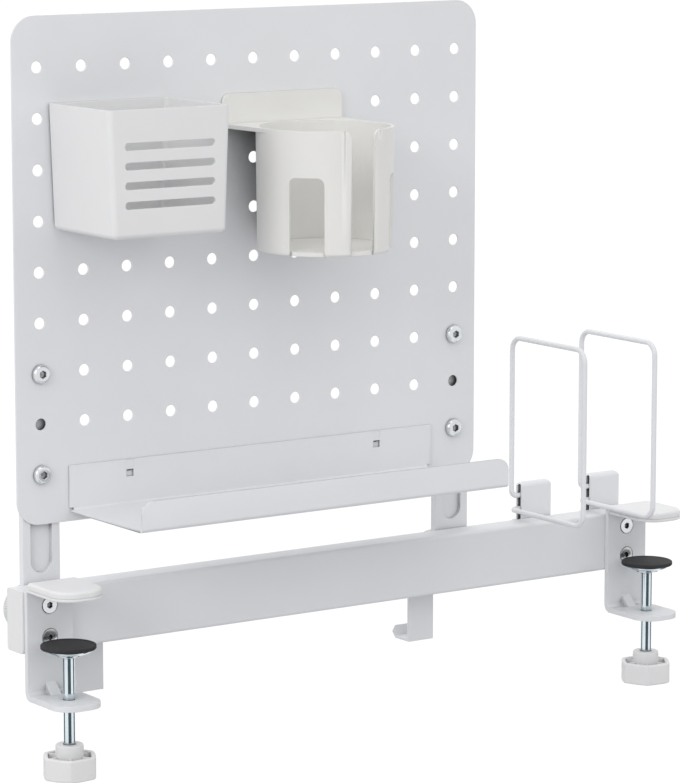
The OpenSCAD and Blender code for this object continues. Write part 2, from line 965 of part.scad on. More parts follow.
module bookend_clip(x) {
    fold_z = clip_top_z - fold_r;
    corner = 4;
    color(white_steel)
        translate([x, 0, 0])
            difference() {
                along_x(clip_w) {
                    translate([rail_back_y, clip_low_z])
                        square([clip_t, fold_z - clip_low_z]);
                    translate([rail_back_y + clip_depth - clip_t, clip_tail_z])
                        square([clip_t, fold_z - clip_tail_z]);
                    translate([rail_back_y + fold_r, fold_z])
                        clip_fold_section();
                }
                translate([0, 0, clip_top_z - corner])
                    upright(rail_back_y - cut, clip_depth + 2 * cut)
                        for (side = [0, 1])
                            mirror([side, 0])
                                translate([clip_w / 2 - corner, 0])
                                    corner_waste(corner);
                translate([0, 0, rail_mid_z])
                    rod_y(rail_back_y - cut, clip_t + 2 * cut, rail_bolt_d + 2 * bolt_gap);
            }
}

// A quarter bend of wire about a centre, in the plane of X and Y before it is turned
module wire_bend(r) {
    rotate_extrude(angle = 90)
        translate([r, 0])
            circle(d = wire_d, $fn = 32);
}

module bookend_loop(x) {
    end_l = clip_w * 0.7;
    left = x - clip_w / 2 - elbow_r - wire_d * 0.6;
    end_x = x - clip_w / 2 + end_l;
    front_y = wire_y - loop_depth;
    top_z = loop_low_z + loop_h;
    up_z = loop_low_z + wire_end_rise;
    color(white_steel) {
        // Upper end in the clip, its elbow, and the rear upright
        translate([left + elbow_r, wire_y, up_z])
            rotate([0, 90, 0])
                cylinder(d = wire_d, h = end_x - left - elbow_r, $fn = 32);
        translate([left + elbow_r, wire_y, up_z + elbow_r])
            rotate([90, 0, 0])
                rotate(180)
                    wire_bend(elbow_r);
        translate([left, wire_y, up_z + elbow_r])
            cylinder(d = wire_d, h = top_z - loop_r - up_z - elbow_r, $fn = 32);
        // Upper bar, front upright and lower bar with their three corners
        translate([left, wire_y - loop_r, top_z - loop_r])
            rotate([90, 0, 90])
                wire_bend(loop_r);
        translate([left, front_y + loop_r, top_z])
            rotate([-90, 0, 0])
                cylinder(d = wire_d, h = loop_depth - 2 * loop_r, $fn = 32);
        translate([left, front_y + loop_r, top_z - loop_r])
            rotate([90, 0, 90])
                rotate(90)
                    wire_bend(loop_r);
        translate([left, front_y, loop_low_z + loop_r])
            cylinder(d = wire_d, h = loop_h - 2 * loop_r, $fn = 32);
        translate([left, front_y + loop_r, loop_low_z + loop_r])
            rotate([90, 0, 90])
                rotate(180)
                    wire_bend(loop_r);
        translate([left, front_y + loop_r, loop_low_z])
            rotate([-90, 0, 0])
                cylinder(d = wire_d, h = loop_depth - loop_r - elbow_r, $fn = 32);
        // Lower elbow and its end in the clip
        translate([left + elbow_r, wire_y - elbow_r, loop_low_z])
            rotate(90)
                wire_bend(elbow_r);
        translate([left + elbow_r, wire_y, loop_low_z])
            rotate([0, 90, 0])
                cylinder(d = wire_d, h = end_x - left - elbow_r, $fn = 32);
    }
}

module clip_bolt(x) {
    color(zinc)
        rail_bolt(x);
}

module clip_knob(x) {
    grip_knob(x, rail_back_y + clip_t);
}

// Lugs that hang the plastic pieces in the peg holes, with a lip behind the board

lug_w = 4;
lug_h = 3.6;
lug_lip = 3.4;
hang_gap = 0.3;
lug_drop = sqrt(pow(hole_d / 2, 2) - pow(lug_w / 2, 2)) - bolt_gap / 4;

module lug(from_y) {
    reach = board_back_y + hang_gap - from_y;
    lip_t = 2.4;
    translate([-lug_w / 2, from_y, -lug_drop])
        cube([lug_w, reach + lip_t, lug_h]);
    translate([-lug_w / 2, from_y + reach, -lug_drop - lug_lip])
        cube([lug_w, lip_t, lug_lip + lug_h]);
}

// Bin with four slots in its front

hang_y = board_front_y - hang_gap;
bin_lug_columns = [1, 2];
bin_lug_row = 7;
bin_x = (column_x(bin_lug_columns[0]) + column_x(bin_lug_columns[1])) / 2 + bin_aside;
bin_top_z = row_z(bin_lug_row) + bin_rise;

module bin_solid(inset, floor_z) {
    top_w = bin_w - 2 * inset;
    low_w = top_w - 2 * bin_draft;
    r = bin_r - inset / 2;
    hull() {
        for (sx = [-1, 1], y = [hang_y - inset - r, hang_y - bin_depth + inset + r]) {
            translate([sx * (top_w / 2 - r), y, bin_h - r])
                cylinder(r = r, h = r + (inset > 0 ? cut : 0), $fn = 32);
            translate([sx * (low_w / 2 - r), y, floor_z + r])
                sphere(r, $fn = 32);
        }
    }
}

module bin() {
    base_z = bin_top_z - bin_h;
    color(white_plastic) {
        translate([bin_x, 0, base_z])
            difference() {
                bin_solid(0, 0);
                bin_solid(bin_wall, bin_wall);
                for (i = [0 : bin_slots - 1])
                    translate([0, 0, bin_slot_low + i * bin_slot_pitch])
                        upright(hang_y - bin_depth - cut, bin_wall + bin_r + cut)
                            stadium(bin_slot_l, bin_slot_h);
            }
        for (column = bin_lug_columns)
            translate([column_x(column), 0, row_z(bin_lug_row)])
                lug(hang_y - bin_wall / 2);
    }
}

// Cup holder: a round cup on a ledge that folds up into the back plate

cup_lug_columns = [5, 6];
cup_lug_row = 7;
cup_x = (column_x(cup_lug_columns[0]) + column_x(cup_lug_columns[1])) / 2 + cup_aside;
cup_y = board_front_y - cup_reach;
cup_top_z = row_z(cup_lug_row) - cup_drop;
cup_base_z = cup_top_z - cup_h;
cup_inner_low_r = cup_d / 2 - cup_wall - cup_draft;

module cup_outside() {
    rim_r = cup_d / 2;
    low_r = rim_r - cup_draft;
    rotate_extrude($fn = 96) {
        polygon([[0, cup_edge_r], [low_r, cup_edge_r], [rim_r, cup_h], [0, cup_h]]);
        square([low_r - cup_edge_r, 2 * cup_edge_r]);
        translate([low_r - cup_edge_r, cup_edge_r])
            circle(cup_edge_r);
    }
}

module cup_hollow() {
    rim_r = cup_d / 2 - cup_wall;
    translate([0, 0, cup_floor])
        cylinder(r1 = cup_inner_low_r, r2 = rim_r, h = cup_h - cup_floor, $fn = 96);
    translate([0, 0, cup_h - cut / 2])
        cylinder(r = rim_r, h = 2 * cut, $fn = 96);
}

// The slot and the windows run out of the wall's lower edge, so that the floor
// stands free as a disc between the wall's four feet
module cup_front_slot() {
    corner = 5;
    upright(-cup_d / 2 - cut, cup_d / 2) {
        translate([-cup_slot_w / 2, -cut])
            square([cup_slot_w, cup_h + 2 * cut]);
        for (side = [0, 1])
            mirror([side, 0])
                translate([cup_slot_w / 2 + corner, cup_h - corner])
                    mirror([1, 0])
                        corner_waste(corner);
    }
}

module cup_window() {
    corner = 5;
    window_top = cup_floor + cup_window_h;
    upright(-cup_d / 2 - cut, cup_d / 3) {
        translate([0, window_top / 2])
            round_rect(cup_window_w, window_top, corner);
        translate([-cup_window_w / 2, -cut])
            square([cup_window_w, window_top / 2]);
    }
}

module cup_openings() {
    difference() {
        union() {
            cup_front_slot();
            for (side = [-1, 1])
                rotate(side * cup_window_turn)
                    cup_window();
        }
        translate([0, 0, -2 * cut])
            cylinder(r = cup_inner_low_r, h = cup_floor + 2 * cut, $fn = 96);
    }
}

module cup_holder() {
    ledge_l = cup_reach - hang_gap;
    plate_corner = 6;
    plate_h = cup_plate_h + cup_plate_t;
    color(white_plastic) {
        difference() {
            union() {
                translate([cup_x, cup_y, cup_base_z])
                    cup_outside();
                translate([cup_x, cup_y, cup_top_z - cup_plate_t])
                    linear_extrude(cup_plate_t)
                        polygon([
                            [-cup_d / 2, 0],
                            [cup_d / 2, 0],
                            [cup_plate_w / 2, ledge_l - cup_plate_t],
                            [cup_plate_w / 2, ledge_l],
                            [-cup_plate_w / 2, ledge_l],
                            [-cup_plate_w / 2, ledge_l - cup_plate_t]
                        ]);
                translate([cup_x, 0, cup_top_z - cup_plate_t])
                    upright(hang_y - cup_plate_t, cup_plate_t)
                        difference() {
                            translate([-cup_plate_w / 2, 0])
                                square([cup_plate_w, plate_h]);
                            for (side = [0, 1])
                                mirror([side, 0])
                                    translate([
                                        cup_plate_w / 2 - plate_corner,
                                        plate_h - plate_corner
                                    ])
                                        corner_waste(plate_corner);
                        }
            }
            translate([cup_x, cup_y, cup_base_z]) {
                cup_hollow();
                cup_openings();
            }
        }
        for (column = cup_lug_columns)
            translate([column_x(column), 0, row_z(cup_lug_row)])
                lug(hang_y - cup_plate_t / 2);
    }
}

// Shelf: one sheet bent to a back plate, a floor and a lip, hung by two lanced tabs

shelf_tab_columns = [2, 8];
shelf_tab_row = 0;
shelf_w = board_w - 2 * shelf_inset;
shelf_low_z = row_z(shelf_tab_row) - shelf_drop;
tab_w = 6;
tab_lip = 3.8;
tab_drop = sqrt(pow(hole_d / 2, 2) - pow(tab_w / 2, 2)) - bolt_gap / 4;

module shelf_section() {
    bend = shelf_t;
    outer = bend + shelf_t;
    back = hang_y;
    front = hang_y - shelf_depth;
    translate([back - shelf_t, outer])
        square([shelf_t, shelf_back_h - outer]);
    translate([front, outer])
        square([shelf_t, shelf_lip_h - outer]);
    translate([front + outer, 0])
        square([shelf_depth - 2 * outer, shelf_t]);
    for (corner = [[front + outer, 0], [back - outer, 1]])
        translate([corner[0], outer])
            mirror([corner[1], 0])
                difference() {
                    circle(outer);
                    circle(bend);
                    translate([0, -outer - cut])
                        square([outer + cut, 2 * (outer + cut)]);
                    translate([-outer - cut, 0])
                        square([2 * (outer + cut), outer + cut]);
                }
}

module shelf_tab() {
    reach = board_back_y + hang_gap - hang_y;
    translate([-tab_w / 2, hang_y - shelf_t, -tab_drop])
        cube([tab_w, reach + 2 * shelf_t, shelf_t]);
    translate([-tab_w / 2, hang_y + reach, -tab_drop - tab_lip])
        cube([tab_w, shelf_t, tab_lip + shelf_t]);
}

module shelf() {
    window_h = 7;
    relief = 3;
    lip_top_z = shelf_low_z + shelf_lip_h;
    color(white_steel) {
        difference() {
            translate([board_x, 0, shelf_low_z])
                along_x(shelf_w)
                    shelf_section();
            for (column = shelf_tab_columns)
                translate([column_x(column), 0, row_z(shelf_tab_row) - tab_drop + window_h / 2])
                    upright(hang_y - shelf_t - cut, shelf_t + 2 * cut)
                        square([tab_w, window_h], center = true);
            for (side = [-1, 1]) {
                translate([board_x + side * shelf_w / 2, hang_y, shelf_low_z])
                    cube(2 * relief, center = true);
                translate([board_x, 0, 0])
                    mirror([(1 - side) / 2, 0, 0])
                        translate([shelf_w / 2 - shelf_lip_r, 0, lip_top_z - shelf_lip_r])
                            upright(hang_y - shelf_depth - cut, shelf_t + 2 * cut)
                                corner_waste(shelf_lip_r);
            }
        }
        for (column = shelf_tab_columns)
            translate([column_x(column), 0, row_z(shelf_tab_row)])
                shelf_tab();
    }
}

board();
post(post_places[0]);  // left_post
post(post_places[1]);  // right_post
board_bolts();
board_spacers();
board_nuts();
post_rail_bolts();
post_washers();
left_post_knob();
right_post_knob();
rail();
rail_end_caps();
clamp_bracket(clamp_places[0]);  // left_clamp_bracket
jaw_sleeve(clamp_places[0]);  // left_jaw_sleeve
mounting_screws(clamp_places[0]);  // left_mounting_screws
nut_plate(clamp_places[0]);  // left_nut_plate
pad_rubber(clamp_places[0]);  // left_pad_rubber
pad_cup(clamp_places[0]);  // left_pad_cup
clamp_screw(clamp_places[0]);  // left_clamp_screw
clamp_knob(clamp_places[0], left_turn);  // left_clamp_knob
clamp_bracket(clamp_places[1]);  // right_clamp_bracket
jaw_sleeve(clamp_places[1]);  // right_jaw_sleeve
mounting_screws(clamp_places[1]);  // right_mounting_screws
nut_plate(clamp_places[1]);  // right_nut_plate
pad_rubber(clamp_places[1]);  // right_pad_rubber
pad_cup(clamp_places[1]);  // right_pad_cup
clamp_screw(clamp_places[1]);  // right_clamp_screw
clamp_knob(clamp_places[1], right_turn);  // right_clamp_knob
bag_hook(hook_places[0]);  // left_bag_hook
hook_bolt(hook_places[0]);  // left_hook_bolt
hook_nut(hook_places[0]);  // left_hook_nut
bag_hook(hook_places[1]);  // right_bag_hook
hook_bolt(hook_places[1]);  // right_hook_bolt
hook_nut(hook_places[1]);  // right_hook_nut
bookend_clip(clip_places[0]);  // inner_bookend_clip
bookend_loop(clip_places[0]);  // inner_bookend_loop
clip_bolt(clip_places[0]);  // inner_bookend_bolt
clip_knob(clip_places[0]);  // inner_bookend_knob
bookend_clip(clip_places[1]);  // outer_bookend_clip
bookend_loop(clip_places[1]);  // outer_bookend_loop
clip_bolt(clip_places[1]);  // outer_bookend_bolt
clip_knob(clip_places[1]);  // outer_bookend_knob
bin();
cup_holder();
shelf();
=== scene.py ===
import json
import math

import bmesh
import bpy
from bpy.props import FloatProperty, FloatVectorProperty, IntProperty, PointerProperty
from mathutils import Matrix, Vector


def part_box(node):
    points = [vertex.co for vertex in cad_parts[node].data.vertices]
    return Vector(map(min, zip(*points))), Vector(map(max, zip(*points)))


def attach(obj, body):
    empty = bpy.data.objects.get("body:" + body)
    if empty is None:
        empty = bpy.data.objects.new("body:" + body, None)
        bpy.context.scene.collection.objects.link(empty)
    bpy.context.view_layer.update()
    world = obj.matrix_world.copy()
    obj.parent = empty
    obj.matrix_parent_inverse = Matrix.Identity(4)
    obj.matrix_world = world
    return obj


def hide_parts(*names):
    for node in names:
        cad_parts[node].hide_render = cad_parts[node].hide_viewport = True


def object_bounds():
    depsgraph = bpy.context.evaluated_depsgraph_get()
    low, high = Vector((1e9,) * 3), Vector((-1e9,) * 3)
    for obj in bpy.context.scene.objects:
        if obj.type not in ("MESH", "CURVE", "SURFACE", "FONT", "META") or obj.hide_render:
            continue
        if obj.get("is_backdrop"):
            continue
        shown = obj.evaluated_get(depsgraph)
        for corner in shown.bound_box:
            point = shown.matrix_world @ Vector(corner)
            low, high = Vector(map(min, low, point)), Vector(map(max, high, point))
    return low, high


bl_info = {
    "name": "Clamp-on pegboard organizer",
    "version": (1, 0, 0),
    "blender": (4, 5, 0),
    "location": "View3D > Sidebar > Pegboard",
    "description": "Dresses the pegboard organizer with finishes and fine shapes",
    "category": "Add Mesh",
}

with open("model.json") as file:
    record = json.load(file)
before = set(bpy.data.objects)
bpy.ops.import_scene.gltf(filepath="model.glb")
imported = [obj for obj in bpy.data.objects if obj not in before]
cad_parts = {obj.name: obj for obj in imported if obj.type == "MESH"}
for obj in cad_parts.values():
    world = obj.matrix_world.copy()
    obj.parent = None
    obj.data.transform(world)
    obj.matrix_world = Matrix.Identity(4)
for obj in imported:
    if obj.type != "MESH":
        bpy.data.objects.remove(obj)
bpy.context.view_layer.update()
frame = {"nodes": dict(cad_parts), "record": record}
NODES = frame["nodes"]


# Distances that only clean a mesh, in metres
WELD = 0.000001
MERGE = 0.000002

SIDES = ("left", "right")


# Sizes and colours that a user would change


def length(name, description, low, high, default):
    return FloatProperty(
        name=name, description=description, subtype="DISTANCE", unit="LENGTH",
        min=low, max=high, default=default,
    )


def paint(name, description, default):
    return FloatVectorProperty(
        name=name, description=description, subtype="COLOR", size=3, min=0, max=1,
        default=default,
    )


class PegboardSizes(bpy.types.PropertyGroup):
    """Sizes that repeat or follow a rule"""

    pitch: length(
        "Hole pitch", "Distance between peg holes, both ways", 0.02, 0.05, 0.036
    )
    hole: length("Hole diameter", "Diameter of a peg hole", 0.004, 0.012, 0.0084)
    columns: IntProperty(
        name="Columns", description="Peg holes in a row", min=3, max=30, default=11
    )
    rows: IntProperty(
        name="Rows", description="Rows of peg holes", min=3, max=30, default=9
    )
    corner: length(
        "Corner radius", "Radius of the board's corners", 0.005, 0.03, 0.018
    )
    edge: length(
        "Edge radius", "Rounding of the board's and the holes' edges",
        0.0001, 0.0007, 0.00035,
    )
    wire: length(
        "Wire diameter", "Diameter of the bookends' wire", 0.002, 0.006, 0.004
    )
    ribs: IntProperty(
        name="Ribs", description="Ribs round a rail knob", min=20, max=90, default=60
    )


class PegboardFinishes(bpy.types.PropertyGroup):
    """Colours and surface of the finishes"""

    sheet: paint(
        "Sheet coat", "Powder coat on the board, posts, brackets and shelf",
        (0.765, 0.775, 0.795),
    )
    rail: paint("Rail coat", "Powder coat on the rail", (0.765, 0.775, 0.795))
    moulded: paint(
        "Moulded white", "Plastic of the bin, the knobs and the caps",
        (0.775, 0.775, 0.78),
    )
    cup: paint("Cup white", "Plastic of the cup holder", (0.79, 0.785, 0.765))
    rubber: paint("Pad rubber", "Rubber of the clamp pads", (0.018, 0.018, 0.020))
    edge: length(
        "Edge softness", "Radius at which light rolls over a sheet's edges",
        0, 0.002, 0.0004,
    )


class PegboardStage(bpy.types.PropertyGroup):
    """Camera and light"""

    lens: FloatProperty(
        name="Lens", description="Focal length on a 36 mm sensor's long side",
        unit="CAMERA", min=50, max=300, default=172.0,
    )
    key: FloatProperty(
        name="Key light", description="Power of the large soft light",
        unit="POWER", min=0, max=500, default=14.0,
    )
    fill: FloatProperty(
        name="Surrounding light", description="Strength of the light from all sides",
        min=0, max=3, default=1.0,
    )


# Node tree helpers


class Nodes:
    """A node tree, built a node at a time"""

    def __init__(self, tree):
        self.tree = tree
        tree.nodes.clear()

    def node(self, kind, inputs=(), **settings):
        """Adds a node. Each input is (socket name or number, what goes in)"""
        made = self.tree.nodes.new(kind)
        for name, setting in settings.items():
            setattr(made, name, setting)
        for socket, source in inputs:
            if isinstance(source, bpy.types.NodeSocket):
                self.tree.links.new(source, made.inputs[socket])
            else:
                made.inputs[socket].default_value = source
        return made

    def arithmetic(self, operation, first, second):
        return self.node(
            "ShaderNodeMath", ((0, first), (1, second)), operation=operation
        ).outputs[0]


class Shader(Nodes):
    """A material in the piece's own coordinates"""

    def __init__(self, name):
        self.material = bpy.data.materials.new(name)
        self.material.use_nodes = True
        super().__init__(self.material.node_tree)
        self.place = self.node("ShaderNodeTexCoord").outputs["Object"]

    def noise(self, scale, detail=4.0, roughness=0.55):
        return self.node(
            "ShaderNodeTexNoise",
            (
                ("Vector", self.place), ("Scale", scale), ("Detail", detail),
                ("Roughness", roughness),
            ),
        ).outputs["Fac"]

    def span(self, value, low, high, to_low=0, to_high=1):
        return self.node(
            "ShaderNodeMapRange",
            (
                ("Value", value), ("From Min", low), ("From Max", high),
                ("To Min", to_low), ("To Max", to_high),
            ),
        ).outputs["Result"]

    def mix(self, factor, first, second):
        return self.node(
            "ShaderNodeMix", (("Factor", factor), (6, first), (7, second)),
            data_type="RGBA",
        ).outputs[2]

    def bump(self, height, distance, strength, normal):
        return self.node(
            "ShaderNodeBump",
            (
                ("Height", height), ("Distance", distance), ("Strength", strength),
                ("Normal", normal),
            ),
        ).outputs["Normal"]

    def rounded(self, radius):
        return self.node(
            "ShaderNodeBevel", (("Radius", radius),), samples=6
        ).outputs["Normal"]

    def dusty(self, reach, low, high, dust_and_shade, open_colour, samples=6):
        """Paints shade: blends in the shade colour in corners, slots and seams as wide as
        the reach, where ambient occlusion finds them closed in
        """
        bare = self.node(
            "ShaderNodeAmbientOcclusion", (("Distance", reach),), samples=samples,
            only_local=False,
        ).outputs["AO"]
        return self.mix(self.span(bare, low, high), dust_and_shade, open_colour)

    def finished(self, **values):
        """The material, with its surface's sockets set or fed"""
        inputs = [(name.replace("_", " "), value) for name, value in values.items()]
        surface = self.node("ShaderNodeBsdfPrincipled", inputs).outputs["BSDF"]
        self.node("ShaderNodeOutputMaterial", (("Surface", surface),))
        return self.material


def tinted(colour, factor):
    return (*(min(1.0, c * factor) for c in colour), 1)


def powder_coat(name, colour, edge):
    """Baked powder coat: an orange-peel skin with fine grains, with painted shade along
    its seams and a painted shadow in wide hollows
    """
    coat = Shader(name)
    peel = coat.noise(420, 2.0)
    grain = coat.noise(2600, 2.0, 0.6)
    cloud = coat.span(coat.noise(9, 3.0), 0.35, 0.65)
    shade = coat.mix(cloud, tinted(colour, 0.985), tinted(colour, 1.015))
    speck = coat.mix(
        coat.span(grain, 0.60, 0.78, 0, 0.10), shade, tinted(colour, 0.90)
    )
    # Painted shadow: the colour falls to 12 % of itself in wide hollows, such as between
    # the bin and the cup holder
    painted_shadow = coat.dusty(0.08, 0.12, 0.37, tinted(colour, 0.12), speck, 12)
    skin = coat.bump(peel, 0.0002, 0.10, coat.rounded(edge))
    return coat.finished(
        # Painted shade: the colour falls to 62 % along seams and tight corners
        Base_Color=coat.dusty(0.0016, 0.1, 0.6, tinted(colour, 0.62), painted_shadow),
        Roughness=coat.span(peel, 0.3, 0.7, 0.44, 0.54),
        Normal=coat.bump(grain, 0.00004, 0.22, skin),
        IOR=1.48,
    )


def moulded_plastic(name, colour, edge, gloss=0.46):
    """Injection-moulded plastic with a fine spark-eroded texture"""
    plastic = Shader(name)
    spark = plastic.noise(3200, 3.0, 0.7)
    flow = plastic.span(plastic.noise(22, 2.0), 0.3, 0.7)
    shade = plastic.mix(flow, tinted(colour, 0.99), tinted(colour, 1.01))
    return plastic.finished(
        # Painted shade: the colour falls to 60 % in tight corners and seams
        Base_Color=plastic.dusty(0.0022, 0.1, 0.7, tinted(colour, 0.6), shade),
        Roughness=plastic.span(spark, 0.3, 0.7, gloss - 0.04, gloss + 0.06),
        Normal=plastic.bump(spark, 0.00003, 0.25, plastic.rounded(edge)),
        IOR=1.5,
        Subsurface_Weight=0.04,
        Subsurface_Scale=0.004,
    )


def bright_metal(name, colour, edge, roughness):
    """Plated steel with fine lapping marks"""
    metal = Shader(name)
    marks = metal.noise(900, 5.0, 0.65)
    cloud = metal.span(metal.noise(60, 3.0), 0.3, 0.7)
    shade = metal.mix(cloud, tinted(colour, 0.93), tinted(colour, 1.05))
    return metal.finished(
        # Painted shade: the colour falls nearly to black in recesses, sockets and under
        # heads
        Base_Color=metal.dusty(0.004, 0.30, 0.85, tinted(colour, 0.06), shade),
        Roughness=metal.span(marks, 0.3, 0.7, roughness * 0.8, roughness * 1.3),
        Normal=metal.bump(marks, 0.00002, 0.12, metal.rounded(edge)),
        Metallic=1.0,
    )


def pad_rubber(name, colour, edge):
    """Dull black rubber with a cut face and a little dust"""
    rubber = Shader(name)
    crumb = rubber.noise(1500, 6.0, 0.7)
    dust_and_shade = rubber.span(rubber.noise(70, 4.0), 0.45, 0.75, 0, 0.35)
    return rubber.finished(
        Base_Color=rubber.mix(dust_and_shade, tinted(colour, 1), tinted(colour, 2.4)),
        Roughness=rubber.span(crumb, 0.3, 0.7, 0.62, 0.8),
        Normal=rubber.bump(crumb, 0.0001, 0.35, rubber.rounded(edge)),
    )


def finish(slot):
    """The material of a record slot, made once under a name of its own"""
    name = slot + "_finish"
    found = bpy.data.materials.get(name)
    if found:
        return found
    look = bpy.context.scene.pegboard_finishes
    # What makes it, its colour, its share of the edge softness, and the rest
    make, colour, soft, *more = {
        "sheet_coat": (powder_coat, look.sheet, 1),
        "rail_coat": (powder_coat, look.rail, 1),
        "bright_steel": (bright_metal, (0.72, 0.74, 0.76), 1, 0.20),
        "polished_steel": (bright_metal, (0.72, 0.79, 0.83), 0.5, 0.07),
        "knob_plastic": (moulded_plastic, look.moulded, 1),
        "sleeve_plastic": (moulded_plastic, look.moulded, 1, 0.55),
        "bin_plastic": (moulded_plastic, look.moulded, 1.5),
        "cup_plastic": (moulded_plastic, look.cup, 1.5),
        "pad_rubber": (pad_rubber, look.rubber, 1),
    }[slot]
    return make(name, colour, look.edge * soft, *more)


SLOT_OF = {s["node"]: s["material_slot"] for s in frame["record"]["subparts"]}
BODY_OF = {
    node: body
    for body, nodes in frame["record"]["behaviour"]["bodies"].items()
    for node in nodes
}


def dress(*names):
    """Gives carried-over solids the finish of their slot"""
    for name in names:
        mesh = NODES[name].data
        mesh.materials.clear()
        mesh.materials.append(finish(SLOT_OF[name]))


# Geometry Nodes


class Tree(Nodes):
    """A Geometry Nodes tree with named inputs"""

    def __init__(self, name):
        super().__init__(bpy.data.node_groups.new(name, "GeometryNodeTree"))
        for way in ("INPUT", "OUTPUT"):
            self.socket("Geometry", "Geometry", way)
        self.inside = self.node("NodeGroupInput")
        self.outside = self.node("NodeGroupOutput")

    def socket(self, kind, name, way="INPUT"):
        self.tree.interface.new_socket(
            name, in_out=way, socket_type="NodeSocket" + kind
        )

    def values(self, *kinds_and_names):
        """Adds an input for each (kind, name)"""
        for kind, name in kinds_and_names:
            self.socket(kind, name)
        return [self.inside.outputs[name] for _, name in kinds_and_names]

    def geometry(self):
        return self.inside.outputs["Geometry"]

    def joined(self, *geometries):
        return self.node(
            "GeometryNodeJoinGeometry", [(0, geometry) for geometry in geometries]
        ).outputs[0]

    def end(self, geometry, finish_input):
        """Ends in plain geometry that wears one finish"""
        plain = self.node("GeometryNodeRealizeInstances", (("Geometry", geometry),))
        whole = self.node(
            "GeometryNodeMergeByDistance",
            (("Geometry", plain.outputs[0]), ("Distance", MERGE)),
        )
        worn = self.node(
            "GeometryNodeSetMaterial",
            (("Geometry", whole.outputs[0]), ("Material", finish_input)),
        )
        self.tree.links.new(worn.outputs[0], self.outside.inputs["Geometry"])
        return self.tree


def tree_of(name, make):
    """A tree that is built once and shared"""
    return bpy.data.node_groups.get(name) or make(Tree(name))


def rows_and_columns(tree):
    """Sets a piece out in rows and columns on an upright plane"""
    columns, rows, across, up, middle, border, worn = tree.values(
        ("Int", "Columns"), ("Int", "Rows"), ("Float", "Step across"),
        ("Float", "Step up"), ("Vector", "Middle"), ("Object", "Border"),
        ("Material", "Finish"),
    )

    def reach(count, step):
        gaps = tree.arithmetic("SUBTRACT", count, 1.0)
        return tree.arithmetic("MULTIPLY", gaps, step)

    grid = tree.node(
        "GeometryNodeMeshGrid",
        (
            ("Size X", reach(columns, across)), ("Size Y", reach(rows, up)),
            ("Vertices X", columns), ("Vertices Y", rows),
        ),
    )
    upright = tree.node(
        "GeometryNodeTransform",
        (
            ("Geometry", grid.outputs["Mesh"]),
            ("Rotation", (math.pi / 2, 0, 0)),
            ("Translation", middle),
        ),
    )
    copies = tree.node(
        "GeometryNodeInstanceOnPoints",
        (("Points", upright.outputs[0]), ("Instance", tree.geometry())),
    )
    edge = tree.node("GeometryNodeObjectInfo", (("Object", border),))
    both = tree.joined(copies.outputs["Instances"], edge.outputs["Geometry"])
    return tree.end(both, worn)


def round_the_rim(tree):
    """Repeats a rib about the Y axis and adds the core that carries the ribs"""
    count, middle, core, worn = tree.values(
        ("Int", "Count"), ("Vector", "Middle"), ("Object", "Core"),
        ("Material", "Finish"),
    )
    line = tree.node(
        "GeometryNodeMeshLine", (("Count", count), ("Offset", (0, 0, 0)))
    )
    index = tree.node("GeometryNodeInputIndex").outputs[0]
    angle = tree.arithmetic(
        "MULTIPLY", index, tree.arithmetic("DIVIDE", 2 * math.pi, count)
    )
    turn = tree.node("ShaderNodeCombineXYZ", (("Y", angle),)).outputs[0]
    rotation = tree.node("FunctionNodeEulerToRotation", ((0, turn),))
    ribs = tree.node(
        "GeometryNodeInstanceOnPoints",
        (
            ("Points", line.outputs["Mesh"]),
            ("Instance", tree.geometry()),
            ("Rotation", rotation.outputs[0]),
        ),
    )
    body = tree.node("GeometryNodeObjectInfo", (("Object", core),))
    both = tree.joined(ribs.outputs["Instances"], body.outputs["Geometry"])
    placed = tree.node(
        "GeometryNodeTransform", (("Geometry", both), ("Translation", middle))
    )
    return tree.end(placed.outputs[0], worn)


def wire_along(tree):
    """Draws round wire along the piece's edges"""
    radius, sides, worn = tree.values(
        ("Float", "Radius"), ("Int", "Sides"), ("Material", "Finish")
    )
    path = tree.node("GeometryNodeMeshToCurve", (("Mesh", tree.geometry()),))
    ring = tree.node(
        "GeometryNodeCurvePrimitiveCircle",
        (("Resolution", sides), ("Radius", radius)),
    )
    wire = tree.node(
        "GeometryNodeCurveToMesh",
        (
            ("Curve", path.outputs[0]),
            ("Profile Curve", ring.outputs["Curve"]),
            ("Fill Caps", True),
        ),
    )
    return tree.end(wire.outputs[0], worn)


def linked(name, mesh):
    piece = bpy.data.objects.new(name, mesh)
    bpy.context.scene.collection.objects.link(piece)
    return piece


def plain_mesh(piece, name):
    """The piece's evaluated shape as a mesh of its own, without modifiers"""
    graph = bpy.context.evaluated_depsgraph_get()
    mesh = bpy.data.meshes.new_from_object(
        piece.evaluated_get(graph), preserve_all_data_layers=True, depsgraph=graph
    )
    mesh.name = name
    old = piece.data
    piece.modifiers.clear()
    piece.data = mesh
    bpy.data.meshes.remove(old)
    return piece


def grown(name, mesh, make, values):
    """Runs a mesh through a tree and keeps the result as a plain mesh"""
    piece = linked(name, mesh)
    tree = tree_of(make.__name__, make)
    modifier = piece.modifiers.new(tree.name, "NODES")
    modifier.node_group = tree
    for item in tree.interface.items_tree:
        if item.in_out == "INPUT" and item.name in values:
            modifier[item.identifier] = values[item.name]
    return plain_mesh(piece, name)


# Mesh helpers


def saved(bm, name):
    """The edited mesh as a new one"""
    mesh = bpy.data.meshes.new(name)
    bm.to_mesh(mesh)
    bm.free()
    return mesh


def from_bmesh(bm, name):
    bmesh.ops.remove_doubles(bm, verts=bm.verts, dist=WELD)
    bmesh.ops.recalc_face_normals(bm, faces=bm.faces)
    return saved(bm, name)


def copied(node):
    """A merged copy of a solid's mesh, to be edited"""
    bm = bmesh.new()
    bm.from_mesh(NODES[node].data)
    bmesh.ops.remove_doubles(bm, verts=bm.verts, dist=MERGE)
    return bm


